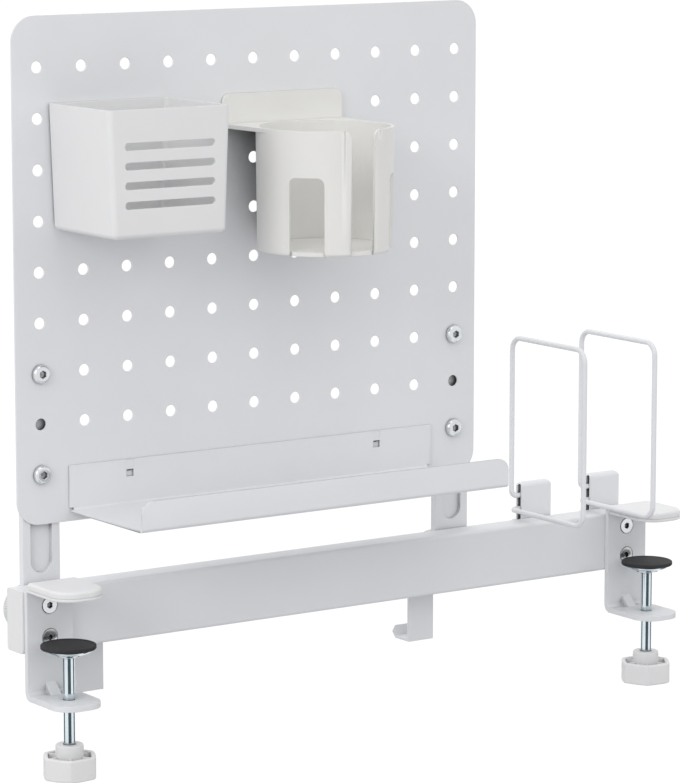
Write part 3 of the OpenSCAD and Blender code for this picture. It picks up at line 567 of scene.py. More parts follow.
def outward(piece):
    """Drops slivers and turns every face of the piece outward"""
    bm = bmesh.new()
    bm.from_mesh(piece.data)
    bmesh.ops.dissolve_degenerate(bm, dist=MERGE, edges=bm.edges)
    bmesh.ops.remove_doubles(bm, verts=bm.verts, dist=MERGE)
    bmesh.ops.recalc_face_normals(bm, faces=bm.faces)
    bm.to_mesh(piece.data)
    bm.free()
    return piece


def skin(bm, loops, close=True):
    """Joins closed loops of equally many points with faces, and closes both ends"""
    rings = [[bm.verts.new(point) for point in loop] for loop in loops]
    count = len(rings[0])
    for low, high in zip(rings, rings[1:]):
        for i in range(count):
            j = (i + 1) % count
            bm.faces.new((low[i], low[j], high[j], high[i]))
    if close:
        bm.faces.new(rings[0])
        bm.faces.new(reversed(rings[-1]))
    return rings


def lofted(name, loops, close=True):
    """The skin over a row of loops as a mesh"""
    bm = bmesh.new()
    skin(bm, loops, close)
    return from_bmesh(bm, name)


def quarter(steps):
    """The cosine and sine of each step from nothing to a right angle"""
    angles = [math.pi / 2 * i / steps for i in range(steps + 1)]
    return [(math.cos(a), math.sin(a)) for a in angles]


def circle_xz(radius, y, count, turn=0.0):
    """A circle about the Y axis"""
    angles = [turn + i * (2 * math.pi / count) for i in range(count)]
    return [Vector((radius * math.cos(a), y, radius * math.sin(a))) for a in angles]


def circles_xz(rows, count, turn=0.0):
    """A circle about the Y axis for each (radius, place along Y)"""
    return [circle_xz(radius, y, count, turn) for radius, y in rows]


def hexagon_xz(flats, y, count):
    """A hexagon about the Y axis, with points spread like a circle's"""
    points = []
    for i in range(count):
        angle = 2 * math.pi * i / count
        nearest = (angle + math.pi / 6) % (math.pi / 3) - math.pi / 6
        reach = flats / 2 / math.cos(nearest)
        points.append(Vector((reach * math.cos(angle), y, reach * math.sin(angle))))
    return points


def turned(profile, sides, name):
    """Lathes a profile of (radius, place along Y) about the Y axis"""
    rows = [(max(radius, 0.00001), y) for radius, y in profile]
    return lofted(name, circles_xz(rows, sides))


def eased(corners, radius, steps=4):
    """A profile with its corners rounded. Each corner is (radius, place)"""
    points = [Vector(corner) for corner in corners]
    path = [points[0]]
    for before, at, after in zip(points, points[1:], points[2:]):
        back, on = before - at, after - at
        reach = min(radius, back.length * 0.45, on.length * 0.45)
        start, end = at + back.normalized() * reach, at + on.normalized() * reach
        for i in range(steps + 1):
            t = i / steps
            path.append(start * (1 - t) ** 2 + at * 2 * t * (1 - t) + end * t * t)
    path.append(points[-1])
    return [tuple(point) for point in path]


def weighted(piece, sharp=math.radians(38)):
    """Smooth shading that keeps broad faces flat"""
    piece.data.shade_smooth()
    piece.data.set_sharp_from_angle(angle=sharp)
    modifier = piece.modifiers.new("even", "WEIGHTED_NORMAL")
    modifier.keep_sharp = True
    modifier.weight = 80
    return plain_mesh(piece, piece.name)


def softened(name, node, radius, segments=2, turn=math.radians(32)):
    """A copy of a solid with its sharp edges rounded"""
    bm = copied(node)
    bmesh.ops.dissolve_limit(
        bm, angle_limit=math.radians(0.4), verts=bm.verts, edges=bm.edges,
        use_dissolve_boundaries=False,
    )
    sharp = [
        edge for edge in bm.edges
        if len(edge.link_faces) == 2 and edge.calc_face_angle() > turn
    ]
    bmesh.ops.bevel(
        bm, geom=sharp, offset=radius, offset_type="OFFSET", segments=segments,
        profile=0.5, affect="EDGES", clamp_overlap=True,
    )
    return weighted(outward(linked(name, saved(bm, name))))


def worked(piece, tool, operation):
    """Adds a tool's shape to the piece, or takes it away"""
    other = linked(piece.name + "_tool", tool)
    modifier = piece.modifiers.new("work", "BOOLEAN")
    modifier.operation = operation
    modifier.solver = "EXACT"
    modifier.object = other
    plain_mesh(piece, piece.name)
    bpy.data.objects.remove(other)
    return piece


def block(low, high):
    """A box between two corners, as a mesh"""
    left, front, base = low
    right, back, top = high
    plan = ((left, front), (right, front), (right, back), (left, back))
    return lofted("block", [[(x, y, z) for x, y in plan] for z in (base, top)])


def fitted(piece, *nodes):
    """The piece stands for the nodes, moves with them and wears their finish"""
    slot = SLOT_OF[nodes[0]]
    piece.data.materials.clear()
    piece.data.materials.append(finish(slot))
    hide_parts(*nodes)
    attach(piece, BODY_OF[nodes[0]])
    return piece


def middle_of(node):
    low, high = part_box(node)
    return [(a + b) / 2 for a, b in zip(low, high)]


# Operators, one for each group of pieces


class PEGBOARD_OT_stage(bpy.types.Operator):
    """Set up the camera, the floor and the studio light"""

    bl_idname = "pegboard.stage"
    bl_label = "Stage"

    # The camera's right, its view direction and its place, from the photograph
    RIGHT = (0.825, -0.565, 0)
    AHEAD = (0.5583, 0.8150, -0.1554)
    PLACE = (-1.5504, -2.2457, 0.5473)
    SENSOR = 36

    # Where the lamps point, and each one's name, place, diameter and share of power
    AIM = (0, 0, 0.15)
    LAMPS = (
        ("key", (-2.6, -1.1, 1.3), 1.1, 1),
        ("top", (-0.6, -0.9, 2.8), 1.1, 0.30),
        ("back", (0.6, 2.4, 1.6), 1.6, 0.40),
    )

    FLOOR_DROP = 0.02
    FLOOR_HALF = 16.0
    PAPER = (0.55, 0.55, 0.56, 1)
    PAPER_GLOW = 1.1
    GLOW_SHARE = 0.88
    WHITE = (1, 1, 1, 1)

    # Cards round a clamp's rod: name, angles of the two sides, distance from the rod
    CARDS = (
        ("front", 222, 280, 0.09), ("near", 124, 154, 0.042), ("far", 330, 366, 0.09),
    )
    CARD_COLOUR = (0.07, 0.12, 0.135, 1)
    CARD_LIFT = 0.001

    def execute(self, context):
        settings = context.scene.pegboard_stage
        self.make_camera(context, settings.lens)
        self.make_floor()
        for name, place, size, share in self.LAMPS:
            data = bpy.data.lights.new(name, "AREA")
            data.shape = "DISK"
            data.size = size
            data.energy = settings.key * share
            lamp = linked(name, data)
            lamp.location = place
            toward = Vector(self.AIM) - Vector(place)
            lamp.rotation_euler = toward.to_track_quat("-Z", "Y").to_euler()
        self.make_cards()
        self.make_world(context, settings.fill)
        context.scene.view_settings.view_transform = "Standard"
        return {"FINISHED"}

    def make_camera(self, context, lens):
        right, ahead = Vector(self.RIGHT).normalized(), Vector(self.AHEAD).normalized()
        data = bpy.data.cameras.new("photo_camera")
        data.sensor_width = self.SENSOR
        data.lens = lens
        data.clip_end = 50
        camera = linked("photo_camera", data)
        turn = Matrix((right, right.cross(ahead).normalized(), -ahead)).transposed()
        camera.matrix_world = Matrix.Translation(self.PLACE) @ turn.to_4x4()
        context.scene.camera = camera

    def make_cards(self):
        """Dark cards that only reflections see, so that bare rods have dark bands"""
        card = bpy.data.materials.new("flag_card")
        card.use_nodes = True
        surface = card.node_tree.nodes["Principled BSDF"]
        surface.inputs["Base Color"].default_value = self.CARD_COLOUR
        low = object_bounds()[0][2] - self.FLOOR_DROP + self.CARD_LIFT
        for side in SIDES:
            rod = middle_of(side + "_clamp_screw")
            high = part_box(side + "_pad_cup")[1][2]
            for word, start, end, reach in self.CARDS:
                corners = []
                for degree, z in ((start, low), (end, low), (end, high), (start, high)):
                    a = math.radians(degree)
                    corners.append(
                        (rod[0] + reach * math.cos(a), rod[1] + reach * math.sin(a), z)
                    )
                flag = self.sheet(side + "_" + word + "_flag", corners, card)
                for ray in (
                    "camera", "diffuse", "transmission", "volume_scatter", "shadow",
                ):
                    setattr(flag, "visible_" + ray, False)
                flag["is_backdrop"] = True

    @staticmethod
    def sheet(name, corners, material):
        mesh = bpy.data.meshes.new(name)
        mesh.from_pydata(corners, [], [(0, 1, 2, 3)])
        mesh.materials.append(material)
        return linked(name, mesh)

    @staticmethod
    def two_ways(holder, output, lit, seen, share=1):
        """Gives light one shader, and rays that see the background the other

        Such rays come straight from the camera, or by a reflection. Each shader is
        (kind of node, inputs).
        """
        holder.use_nodes = True
        nodes = Nodes(holder.node_tree)
        rays = nodes.node("ShaderNodeLightPath").outputs
        looked_at = rays["Is Camera Ray"]
        for kind in ("Is Glossy Ray", "Is Transmission Ray"):
            looked_at = nodes.arithmetic("MAXIMUM", looked_at, rays[kind])
        pick = nodes.node(
            "ShaderNodeMixShader",
            (
                ("Fac", nodes.arithmetic("MULTIPLY", looked_at, share)),
                (1, nodes.node(*lit).outputs[0]), (2, nodes.node(*seen).outputs[0]),
            ),
        )
        nodes.node(output, (("Surface", pick.outputs["Shader"]),))

    def make_floor(self):
        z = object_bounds()[0][2] - self.FLOOR_DROP
        half = self.FLOOR_HALF
        corners = [
            (x * half, y * half, z) for x, y in ((-1, -1), (1, -1), (1, 1), (-1, 1))
        ]
        paper = bpy.data.materials.new("floor_paper")
        self.two_ways(
            paper, "ShaderNodeOutputMaterial",
            ("ShaderNodeBsdfDiffuse", (("Color", self.PAPER),)),
            ("ShaderNodeEmission", (("Strength", self.PAPER_GLOW),)),
            self.GLOW_SHARE,
        )
        self.sheet("floor", corners, paper)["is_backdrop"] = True

    def make_world(self, context, fill):
        world = bpy.data.worlds.new("studio")
        context.scene.world = world
        self.two_ways(
            world, "ShaderNodeOutputWorld",
            ("ShaderNodeBackground", (("Color", self.WHITE), ("Strength", fill))),
            ("ShaderNodeBackground", (("Color", self.WHITE), ("Strength", 1))),
        )


class PEGBOARD_OT_board(bpy.types.Operator):
    """Make the perforated board from one tile with a hole, and a border"""

    bl_idname = "pegboard.board"
    bl_label = "Perforated board"

    def execute(self, context):
        sizes = context.scene.pegboard_sizes
        low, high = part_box("board")
        middle = middle_of("board")
        border = linked("board_border", self.border(sizes, low, high, middle))
        board = grown(
            "board_sheet",
            self.tile(sizes, low[1], high[1]),
            rows_and_columns,
            {
                "Columns": sizes.columns,
                "Rows": sizes.rows,
                "Step across": sizes.pitch,
                "Step up": sizes.pitch,
                "Middle": (middle[0], 0, middle[2]),
                "Border": border,
                "Finish": finish("sheet_coat"),
            },
        )
        bpy.data.objects.remove(border)
        fitted(weighted(outward(board)), "board")
        return {"FINISHED"}

    @staticmethod
    def rim(edge, front, back, steps=3):
        """Insets and places of the rings that round a sheet's rim, front to back"""
        fore = [(edge * (1 - s), front + edge * (1 - c)) for c, s in quarter(steps)]
        aft = [(inset, back + front - y) for inset, y in reversed(fore)]
        return fore + aft

    def tile(self, sizes, front, back, sides=40):
        """A square of the sheet as wide as the pitch, with its hole"""
        bm = bmesh.new()
        half = sizes.pitch / 2
        per_side = sides // 4
        square = []
        for i in range(sides):
            side, along = divmod(i, per_side)
            point = Vector((half, 0, -half + sizes.pitch * along / per_side))
            point.rotate(Matrix.Rotation(-side * math.pi / 2, 3, "Y"))
            square.append(point)
        loops = [[point + Vector((0, front, 0)) for point in square]]
        for inset, y in self.rim(sizes.edge, front, back):
            loops.append(circle_xz(sizes.hole / 2 + inset, y, sides, -math.pi / 4))
        loops.append([point + Vector((0, back, 0)) for point in square])
        skin(bm, loops, close=False)
        return saved(bm, "board_tile")

    def border(self, sizes, low, high, middle, steps=16, sides=40):
        """The sheet outside the tiles, with round corners and a rounded rim"""
        bm = bmesh.new()
        front, back = low[1], high[1]
        width, height = sizes.columns * sizes.pitch, sizes.rows * sizes.pitch

        def outline(inset, y):
            points = []
            for turn, (sx, sz) in enumerate(((1, 1), (-1, 1), (-1, -1), (1, -1))):
                cx = (high[0] if sx > 0 else low[0]) - sx * sizes.corner
                cz = (high[2] if sz > 0 else low[2]) - sz * sizes.corner
                for i in range(steps + 1):
                    a = math.pi / 2 * (turn + i / steps)
                    reach = sizes.corner - inset
                    points.append(
                        (cx + reach * math.cos(a), y, cz + reach * math.sin(a))
                    )
            return points

        rings = skin(
            bm,
            [outline(inset, y) for inset, y in self.rim(sizes.edge, front, back)],
            close=False,
        )
        step = sizes.pitch / (sides // 4)
        across, up = round(width / step), round(height / step)
        inner = [(width / 2, -height / 2 + i * step) for i in range(up)]
        inner += [(width / 2 - i * step, height / 2) for i in range(across)]
        inner += [(-x, -z) for x, z in inner]
        for y, outer in ((front, rings[0]), (back, rings[-1])):
            loop = [bm.verts.new((middle[0] + x, y, middle[2] + z)) for x, z in inner]
            edges = [bm.edges.new((loop[i - 1], loop[i])) for i in range(len(loop))]
            edges += [
                bm.edges.get((outer[i - 1], outer[i])) for i in range(len(outer))
            ]
            bmesh.ops.triangle_fill(bm, use_beauty=True, edges=edges, normal=(0, -1, 0))
        return saved(bm, "board_border")


class PEGBOARD_OT_posts(bpy.types.Operator):
    """Round the edges of the two pressed posts and their washers"""

    bl_idname = "pegboard.posts"
    bl_label = "Posts"

    def execute(self, context):
        for node in ("left_post", "right_post"):
            fitted(softened(node + "_channel", node, 0.0004), node)
        fitted(softened("post_washer_pair", "post_washers", 0.0002), "post_washers")
        return {"FINISHED"}


class PEGBOARD_OT_fasteners(bpy.types.Operator):
    """Make the button bolts, their nuts and the clamps' countersunk screws"""

    bl_idname = "pegboard.fasteners"
    bl_label = "Fasteners"

    def execute(self, context):
        sizes = context.scene.pegboard_sizes
        low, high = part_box("board_bolts")
        middle = middle_of("board_bolts")
        steps = sizes.pitch * (sizes.columns - 1), sizes.pitch * 2
        bolt = self.button(low[1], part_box("board")[0][1], high[1])
        self.set_out("board_bolts", "button_bolts", bolt, middle, 2, *steps)
        low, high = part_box("board_nuts")
        nut = self.nut(low[1], high[1])
        self.set_out("board_nuts", "hexagon_nuts", nut, middle, 2, *steps)
        for side in SIDES:
            node = side + "_mounting_screws"
            low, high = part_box(node)
            head_d = high[0] - low[0]
            screw = self.countersunk(low[1], high[1], head_d / 2)
            self.set_out(
                node, side + "_countersunk_pair", screw, middle_of(node), 1, 0.0,
                high[2] - low[2] - head_d,
            )
        dress(
            "board_spacers", "post_rail_bolts", "left_nut_plate", "right_nut_plate",
            "left_hook_bolt", "right_hook_bolt", "inner_bookend_bolt",
            "outer_bookend_bolt",
        )
        return {"FINISHED"}

    @staticmethod
    def set_out(node, name, mesh, middle, columns, across, up):
        """Sets a fastener out in two rows about the middle"""
        values = {
            "Columns": columns,
            "Rows": 2,
            "Step across": across,
            "Step up": up,
            "Middle": (middle[0], 0, middle[2]),
            "Finish": finish("bright_steel"),
        }
        fitted(weighted(grown(name, mesh, rows_and_columns, values)), node)

    @staticmethod
    def socket(face, flats, depth, count):
        """Loops of a hexagon socket sunk from a face, with an eased mouth"""
        loops = [
            hexagon_xz(flats + wider, face + y, count)
            for wider, y in ((0.0006, 0), (0.0001, 0.0002), (0, 0.0005), (0, depth))
        ]
        floor = face + depth
        cone = ((flats * 0.42, floor), (0.0001, floor + flats * 0.12))
        return loops + circles_xz(cone, count)

    def button(self, face, seat, end, shank=0.004, head=0.007, count=48):
        """A bolt with a domed head, a shank, a groove near its end and a socket"""
        flat = head * 0.62
        rise = seat - face
        rows = [
            (shank - 0.0006, end), (shank, end - 0.0006), (shank, end - 0.0011),
            (shank - 0.0003, end - 0.0014), (shank, end - 0.0017), (shank, seat),
            (head - 0.0003, seat), (head, seat - 0.0003), (head, seat - rise * 0.25),
        ]
        rows += [
            (flat + (head - flat) * c, seat - rise * (0.25 + 0.75 * s))
            for c, s in quarter(6)[1:]
        ]
        sunk = self.socket(face, 0.005, rise * 0.66, count)
        return lofted("button_bolt", circles_xz(rows, count) + sunk)

    def nut(self, low, high, flats=0.013, bore=0.00405, ease=0.0006, count=48):
        """A hexagon nut with faced ends and an eased bore"""
        face, mouth = flats / 2 - 0.0002, bore + 0.0005
        loops = circles_xz([(bore, low + 0.0005), (mouth, low), (face, low)], count)
        loops += [hexagon_xz(flats, y, count) for y in (low + ease, high - ease)]
        loops += circles_xz([(face, high), (mouth, high), (bore, high - 0.0005)], count)
        return lofted("hexagon_nut", loops + loops[:1], close=False)

    def countersunk(self, face, end, head, shank=0.003, rim=0.0003, count=48):
        """A countersunk screw whose head leaves a thin gap to its seat"""
        head -= 0.0003
        rows = [
            (shank - 0.0006, end), (shank, end - 0.0006), (shank, face + head - shank),
            (head - rim, face + rim), (head - rim * 1.1, face + rim / 3),
            (head - rim * 2, face),
        ]
        sunk = self.socket(face, 0.004, 0.0026, count)
        return lofted("countersunk_screw", circles_xz(rows, count) + sunk)


class PEGBOARD_OT_rail(bpy.types.Operator):
    """Round the edges of the slotted rail and its end caps"""

    bl_idname = "pegboard.rail"
    bl_label = "Rail"

    def execute(self, context):
        fitted(softened("rail_profile", "rail", 0.0003), "rail")
        fitted(softened("rail_cap_pair", "rail_end_caps", 0.0005), "rail_end_caps")
        return {"FINISHED"}


class PEGBOARD_OT_clamps(bpy.types.Operator):
    """Make the clamps: brackets, sleeves, pads, screws and knobs"""

    bl_idname = "pegboard.clamps"
    bl_label = "Clamps"

    def execute(self, context):
        for side in SIDES:
            node = side + "_clamp_bracket"
            fitted(softened(side + "_bent_bracket", node, 0.0006, 3), node)
            self.sleeve(side + "_jaw_sleeve", side + "_soft_sleeve")
            node = side + "_clamp_knob"
            self.knob(node, side + "_hexagon_knob", side + "_clamp_screw")
            for part, word, profile, sides in (
                ("_pad_rubber", "_rubber_disc", self.rubber, 96),
                ("_pad_cup", "_steel_dish", self.dish, 96),
                ("_clamp_screw", "_screw_rod", self.rod, 64),
            ):
                node, name = side + part, side + word
                low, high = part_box(node)
                middle = middle_of(node)
                rows = profile((high[0] - low[0]) / 2, high[2] - low[2])
                mesh = turned(rows, sides, name)
                mesh.transform(
                    Matrix.Translation((middle[0], middle[1], low[2]))
                    @ Matrix.Rotation(math.pi / 2, 4, "X")
                )
                fitted(weighted(linked(name, mesh)), node)
        return {"FINISHED"}

    @staticmethod
    def sleeve(node, name, radius=0.0166, wall=0.0016, gap=0.0001, past=0.01):
        """A soft sleeve with round front corners, a moulding step and an open back"""
        low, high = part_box(node)
        middle = (low[0] + high[0]) / 2
        rise = high[2] - low[2]

        def outline(inset, z, back=0.0, steps=14):
            half = (high[0] - low[0]) / 2 - inset
            reach = max(radius - inset, 0.002)
            out, fore = half - reach, low[1] + inset + reach
            points = [(middle + half, high[1] + back, z)]
            for side in (1, -1):
                points += [
                    (middle + side * (out + reach * c), fore - reach * s, z)
                    for c, s in quarter(steps)[::side]
                ]
            points.append((middle - half, high[1] + back, z))
            return points

        rim = (
            (0.0012, 0), (0.0005, 0.0002), (0.0001, 0.0006), (0, 0.0010),
            (0, 0.0018), (0.0002, 0.0021), (0.0008, 0.0022), (0.0009, 0.0024),
            (0.0006, 0.0027), (0.0005, 0.0031), (0.0005, rise - 0.0018),
            (0.0006, rise - 0.0012), (0.0010, rise - 0.0006),
            (0.0017, rise - 0.00015), (0.0026, rise),
        )
        loops = [outline(inset, low[2] + z) for inset, z in rim]
        piece = linked(name, lofted(name, loops))
        inset = wall - gap
        loops = [outline(inset, low[2] + z, past) for z in (inset, rise - inset)]
        worked(piece, lofted(name + "_jaw", loops), "DIFFERENCE")
        fitted(weighted(piece), node)

    @staticmethod
    def knob(node, name, screw, across=0.037, hub=0.010, wall=0.0032, count=144):
        """A cup-shaped knob of six bowed sides, with webs to the hub round the screw"""
        low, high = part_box(node)
        axis = middle_of(screw)
        turn = math.radians(-27.5 if axis[0] < 0 else -33.7)
        side_r = across * 1.8
        away = side_r - across / 2
        blend = 0.0003

        def around(a, reach, z):
            a += turn
            return (axis[0] + reach * math.cos(a), axis[1] + reach * math.sin(a), z)

        def plan(inset, z):
            """The six sides, with their corners blended"""
            points = []
            for i in range(count):
                a = 2 * math.pi * i / count
                total = 0.0
                for face in range(6):
                    off = a - face * math.pi / 3
                    reach = -away * math.cos(off) + math.sqrt(
                        (side_r - inset) ** 2 - (away * math.sin(off)) ** 2
                    )
                    total += math.exp(-reach / blend)
                points.append(around(a, -math.log(total) * blend, z))
            return points

        def ring(radius, z):
            return [around(2 * math.pi * i / count, radius, z) for i in range(count)]

        base, top = low[2], high[2]
        skirt, sink, ease, clear = 0.008, 0.009, 0.0012, 0.00015
        rim = top - skirt
        floor = rim - sink
        screw_low, screw_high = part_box(screw)
        bore = (screw_high[0] - screw_low[0]) / 2 + clear
        loops = [ring(0.004, base)]
        loops += [
            plan(inset, z)
            for inset, z in (
                (0.0016, base), (0.0007, base + 0.00015), (0.0002, base + 0.0006),
                (0, base + 0.0013), (0, rim - 0.0012), (0.0002, rim - 0.0005),
                (0.0006, rim - 0.0001), (0.0011, rim), (wall - 0.0006, rim),
                (wall - 0.0001, rim - 0.0003), (wall, rim - 0.0009), (wall, floor),
            )
        ]
        loops += [ring(hub, floor), ring(hub, top - ease)]
        loops += [
            ring(hub - ease + ease * c, top - ease + ease * s)
            for c, s in quarter(4)[1:]
        ]
        loops += [
            ring(bore + 0.0004, top), ring(bore, top - 0.0004),
            ring(bore, screw_low[2] - clear),
        ]
        piece = linked(name, lofted(name, loops))
        start, end, half = 0.009, 0.018, 0.0007
        for i in range(6):
            web = block((start, -half, floor - 0.0002), (end, half, rim - 0.0004))
            web.transform(
                Matrix.Translation((axis[0], axis[1], 0))
                @ Matrix.Rotation(turn + math.radians(30 + 60 * i), 4, "Z")
            )
            worked(piece, web, "UNION")
        fitted(weighted(outward(piece)), node)

    @staticmethod
    def rubber(radius, height):
        """A disc with full round rims and a shallow raised border on its face"""
        face = height - 0.0003
        corners = (
            (0, 0), (radius, 0), (radius, height), (radius - 0.0022, height),
            (radius - 0.0028, face), (0, face),
        )
        return eased(corners, 0.001)

    @staticmethod
    def dish(radius, _height, bore=0.00433, neck=0.00525, collar=0.0012):
        """A pressed dish with a step and a collar that holds the screw's end"""
        floor = collar + 0.0016
        top = floor + 0.0035
        corners = (
            (0, floor), (bore, floor), (bore, 0), (neck, 0), (neck, collar),
            (0.0092, collar), (0.0092, floor), (radius * 0.60, floor),
            (radius * 0.86, floor + 0.0009), (radius - 0.0007, floor + 0.0021),
            (radius, top - 0.0004), (radius - 0.0003, top), (0, top),
        )
        return eased(corners, 0.0008)

    @staticmethod
    def rod(radius, height):
        """A plain rod with eased ends"""
        return (
            (0, 0), (radius - 0.0005, 0), (radius, 0.0005),
            (radius, height - 0.001), (radius - 0.001, height), (0, height),
        )


class PEGBOARD_OT_grips(bpy.types.Operator):
    """Make the ribbed knobs and the thumb nuts behind the rail"""

    bl_idname = "pegboard.grips"
    bl_label = "Ribbed knobs"

    # Radius under the ribs, and where the ribs start and end behind the front
    KNOB_RIM = (0.0163, 0.0156, 0.0244)
    NUT_RADIUS = 0.0075
    NUT_RIBS = 24
    BOLT_GAP = 0.0002

    def execute(self, context):
        sizes = context.scene.pegboard_sizes
        for node, bolt in (
            ("left_post_knob", "post_rail_bolts"),
            ("right_post_knob", "post_rail_bolts"),
            ("inner_bookend_knob", "inner_bookend_bolt"),
            ("outer_bookend_knob", "outer_bookend_bolt"),
        ):
            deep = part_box(bolt)[1][1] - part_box(node)[0][1] + self.BOLT_GAP
            self.ribbed(node, sizes.ribs, self.knob_core(deep), *self.KNOB_RIM)
        for side in SIDES:
            node = side + "_hook_nut"
            low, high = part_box(node)
            deep = high[1] - low[1]
            core = self.nut_core(deep)
            self.ribbed(node, self.NUT_RIBS, core, self.NUT_RADIUS, 0, deep)
        return {"FINISHED"}

    @staticmethod
    def ribbed(node, count, core, radius, start, end, rib=0.0007):
        """Ribs from start to end along a round core, counted from its front"""
        middle = middle_of(node)
        core = linked(node + "_core", core)
        loops = circles_xz(
            [
                (rib * 0.4, start), (rib, start + rib * 0.8), (rib, end - rib * 0.8),
                (rib * 0.4, end),
            ],
            8, math.pi / 8,
        )
        loops = [[point + Vector((radius, 0, 0)) for point in loop] for loop in loops]
        values = {
            "Count": count,
            "Middle": (middle[0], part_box(node)[0][1], middle[2]),
            "Core": core,
            "Finish": finish("knob_plastic"),
        }
        mesh = lofted(node + "_rib", loops)
        piece = grown(node + "_ribbed", mesh, round_the_rim, values)
        bpy.data.objects.remove(core)
        fitted(weighted(piece), node)

    @staticmethod
    def knob_core(deep):
        """A neck with a blind bore and a broad rim with a sunken face"""
        corners = (
            (0, deep), (0.00305, deep), (0.00305, 0), (0.008, 0), (0.008, 0.015),
            (0.0163, 0.015), (0.0163, 0.025), (0.0135, 0.025), (0.0128, 0.0242),
            (0.0062, 0.0242), (0.0056, 0.0248), (0, 0.0248),
        )
        return turned(eased(corners, 0.0011), 96, "knob_core")

    @staticmethod
    def nut_core(high):
        """A ring with eased edges and a face that is sunk about the bore"""
        rows = (
            (0.00305, 0.0004), (0.0034, 0), (0.0071, 0), (0.0075, 0.0004),
            (0.0075, high - 0.0004), (0.0071, high), (0.0052, high),
            (0.0049, high - 0.0003), (0.0034, high - 0.0003), (0.00305, high - 0.0006),
        )
        loops = circles_xz(rows, 64)
        return lofted("nut_core", loops + loops[:1], close=False)


class PEGBOARD_OT_hooks(bpy.types.Operator):
    """Make the bag hooks, and the wire bookends in their clips"""

    bl_idname = "pegboard.hooks"
    bl_label = "Hooks and bookends"

    def execute(self, context):
        sizes = context.scene.pegboard_sizes
        for side in SIDES:
            node = side + "_bag_hook"
            fitted(softened(node + "_strap", node, 0.0005, 3), node)
        values = {
            "Radius": sizes.wire / 2, "Sides": 24, "Finish": finish("sheet_coat"),
        }
        for side in ("inner", "outer"):
            node = side + "_bookend_clip"
            fitted(softened(node + "_fold", node, 0.0004, 3), node)
            node = side + "_bookend_loop"
            path = self.path(node, sizes.wire / 2)
            loop = grown(node + "_wire", path, wire_along, values)
            fitted(weighted(loop), node)
        return {"FINISHED"}

    @staticmethod
    def path(node, half, gap=0.0105, tight=0.005, wide=0.010, steps=12):
        """The bent wire's middle line, from its upper end to its lower end"""
        low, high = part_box(node)
        left, end = low[0] + half, high[0]
        front, back = low[1] + half, high[1] - half
        bottom, top = low[2] + half, high[2] - half
        second = bottom + gap
        corners = (
            ((end, back, second), 0), ((left, back, second), tight),
            ((left, back, top), wide), ((left, front, top), wide),
            ((left, front, bottom), wide), ((left, back, bottom), tight),
            ((end, back, bottom), 0),
        )
        points = []
        for i, (at, radius) in enumerate(corners):
            at = Vector(at)
            if radius == 0:
                points.append(at)
                continue
            to = (Vector(corners[i - 1][0]) - at).normalized() * radius
            on = (Vector(corners[i + 1][0]) - at).normalized() * radius
            centre = at + to + on
            points += [centre - on * c - to * s for c, s in quarter(steps)]
        mesh = bpy.data.meshes.new("wire_path")
        mesh.from_pydata(points, [(i, i + 1) for i in range(len(points) - 1)], [])
        return mesh


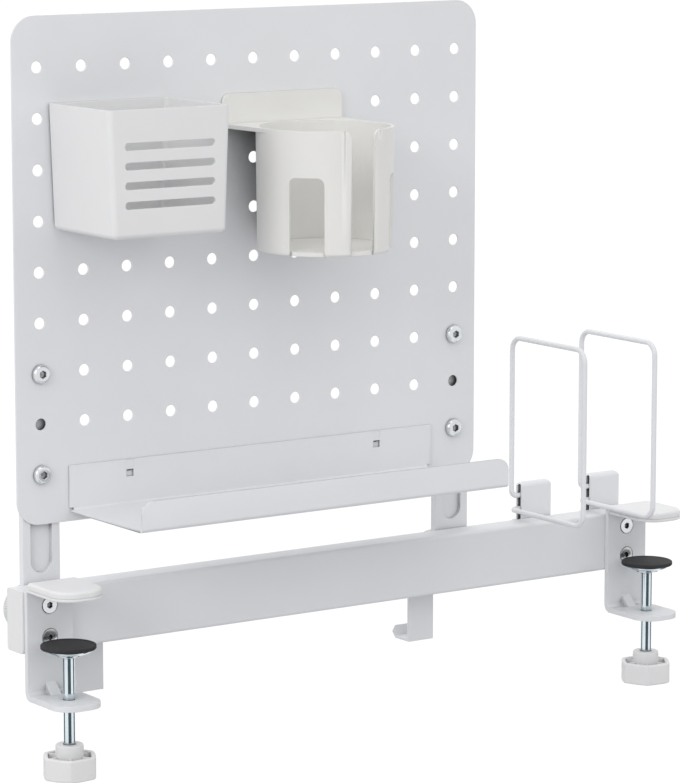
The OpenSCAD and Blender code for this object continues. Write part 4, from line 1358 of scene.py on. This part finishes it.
class PEGBOARD_OT_hung(bpy.types.Operator):
    """Round the edges of the bin, the cup holder and the shelf"""

    bl_idname = "pegboard.hung"
    bl_label = "Bin, cup holder and shelf"

    def execute(self, context):
        fitted(softened("bin_moulding", "bin", 0.0007, 3), "bin")
        fitted(softened("cup_holder_moulding", "cup_holder", 0.0006, 3), "cup_holder")
        self.shelf(context.scene.pegboard_sizes)
        return {"FINISHED"}

    @staticmethod
    def shelf(sizes, tab=0.006, drop=0.00289, slot=0.0052, rise=0.007, sheet=0.0015):
        """The folded sheet, with its tabs lanced from the slots under them"""
        bm = copied("shelf")
        inside = [
            face for face in bm.faces
            if any(len(edge.link_faces) == 1 for edge in face.edges)
        ]
        bmesh.ops.delete(bm, geom=inside, context="FACES_ONLY")
        piece = linked("shelf_sheet", from_bmesh(bm, "shelf_sheet"))
        middle = middle_of("board")
        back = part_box("board")[0][1] - 0.0001
        front = back - sheet
        under = middle[2] - sizes.pitch * (sizes.rows - 1) / 2 - drop
        past = 0.001
        for side in (-1, 1):
            x = middle[0] + side * sizes.pitch * 3
            left, right = x - tab / 2, x + tab / 2
            web = block((left, front, under + sheet / 2), (right, back, under + rise))
            worked(piece, web, "UNION")
            cut = block((left, front - past, under - slot), (right, back + past, under))
            worked(piece, cut, "DIFFERENCE")
        fitted(weighted(outward(piece)), "shelf")


class PEGBOARD_PT_sidebar(bpy.types.Panel):
    """Lists the steps of the pegboard organizer"""

    bl_label = "Pegboard organizer"
    bl_space_type = "VIEW_3D"
    bl_region_type = "UI"
    bl_category = "Pegboard"

    def draw(self, context):
        for group_name in GROUPS:
            group = getattr(context.scene, group_name)
            for name in group.bl_rna.properties.keys():
                if name not in ("rna_type", "name"):
                    self.layout.prop(group, name)
        for step in OPERATORS:
            self.layout.operator(step.bl_idname)


GROUPS = {
    "pegboard_sizes": PegboardSizes,
    "pegboard_finishes": PegboardFinishes,
    "pegboard_stage": PegboardStage,
}
OPERATORS = (
    PEGBOARD_OT_stage,
    PEGBOARD_OT_board,
    PEGBOARD_OT_posts,
    PEGBOARD_OT_fasteners,
    PEGBOARD_OT_rail,
    PEGBOARD_OT_clamps,
    PEGBOARD_OT_grips,
    PEGBOARD_OT_hooks,
    PEGBOARD_OT_hung,
)
CLASSES = (*GROUPS.values(), *OPERATORS, PEGBOARD_PT_sidebar)


def register():
    for made in CLASSES:
        bpy.utils.register_class(made)
    for name, group in GROUPS.items():
        setattr(bpy.types.Scene, name, PointerProperty(type=group))


def unregister():
    for name in GROUPS:
        delattr(bpy.types.Scene, name)
    for made in reversed(CLASSES):
        bpy.utils.unregister_class(made)


def main():
    register()
    for step in OPERATORS:
        group, name = step.bl_idname.split(".")
        if getattr(getattr(bpy.ops, group), name)() != {"FINISHED"}:
            raise RuntimeError(step.bl_label + " did not finish")


if __name__ == "__main__":
    main()
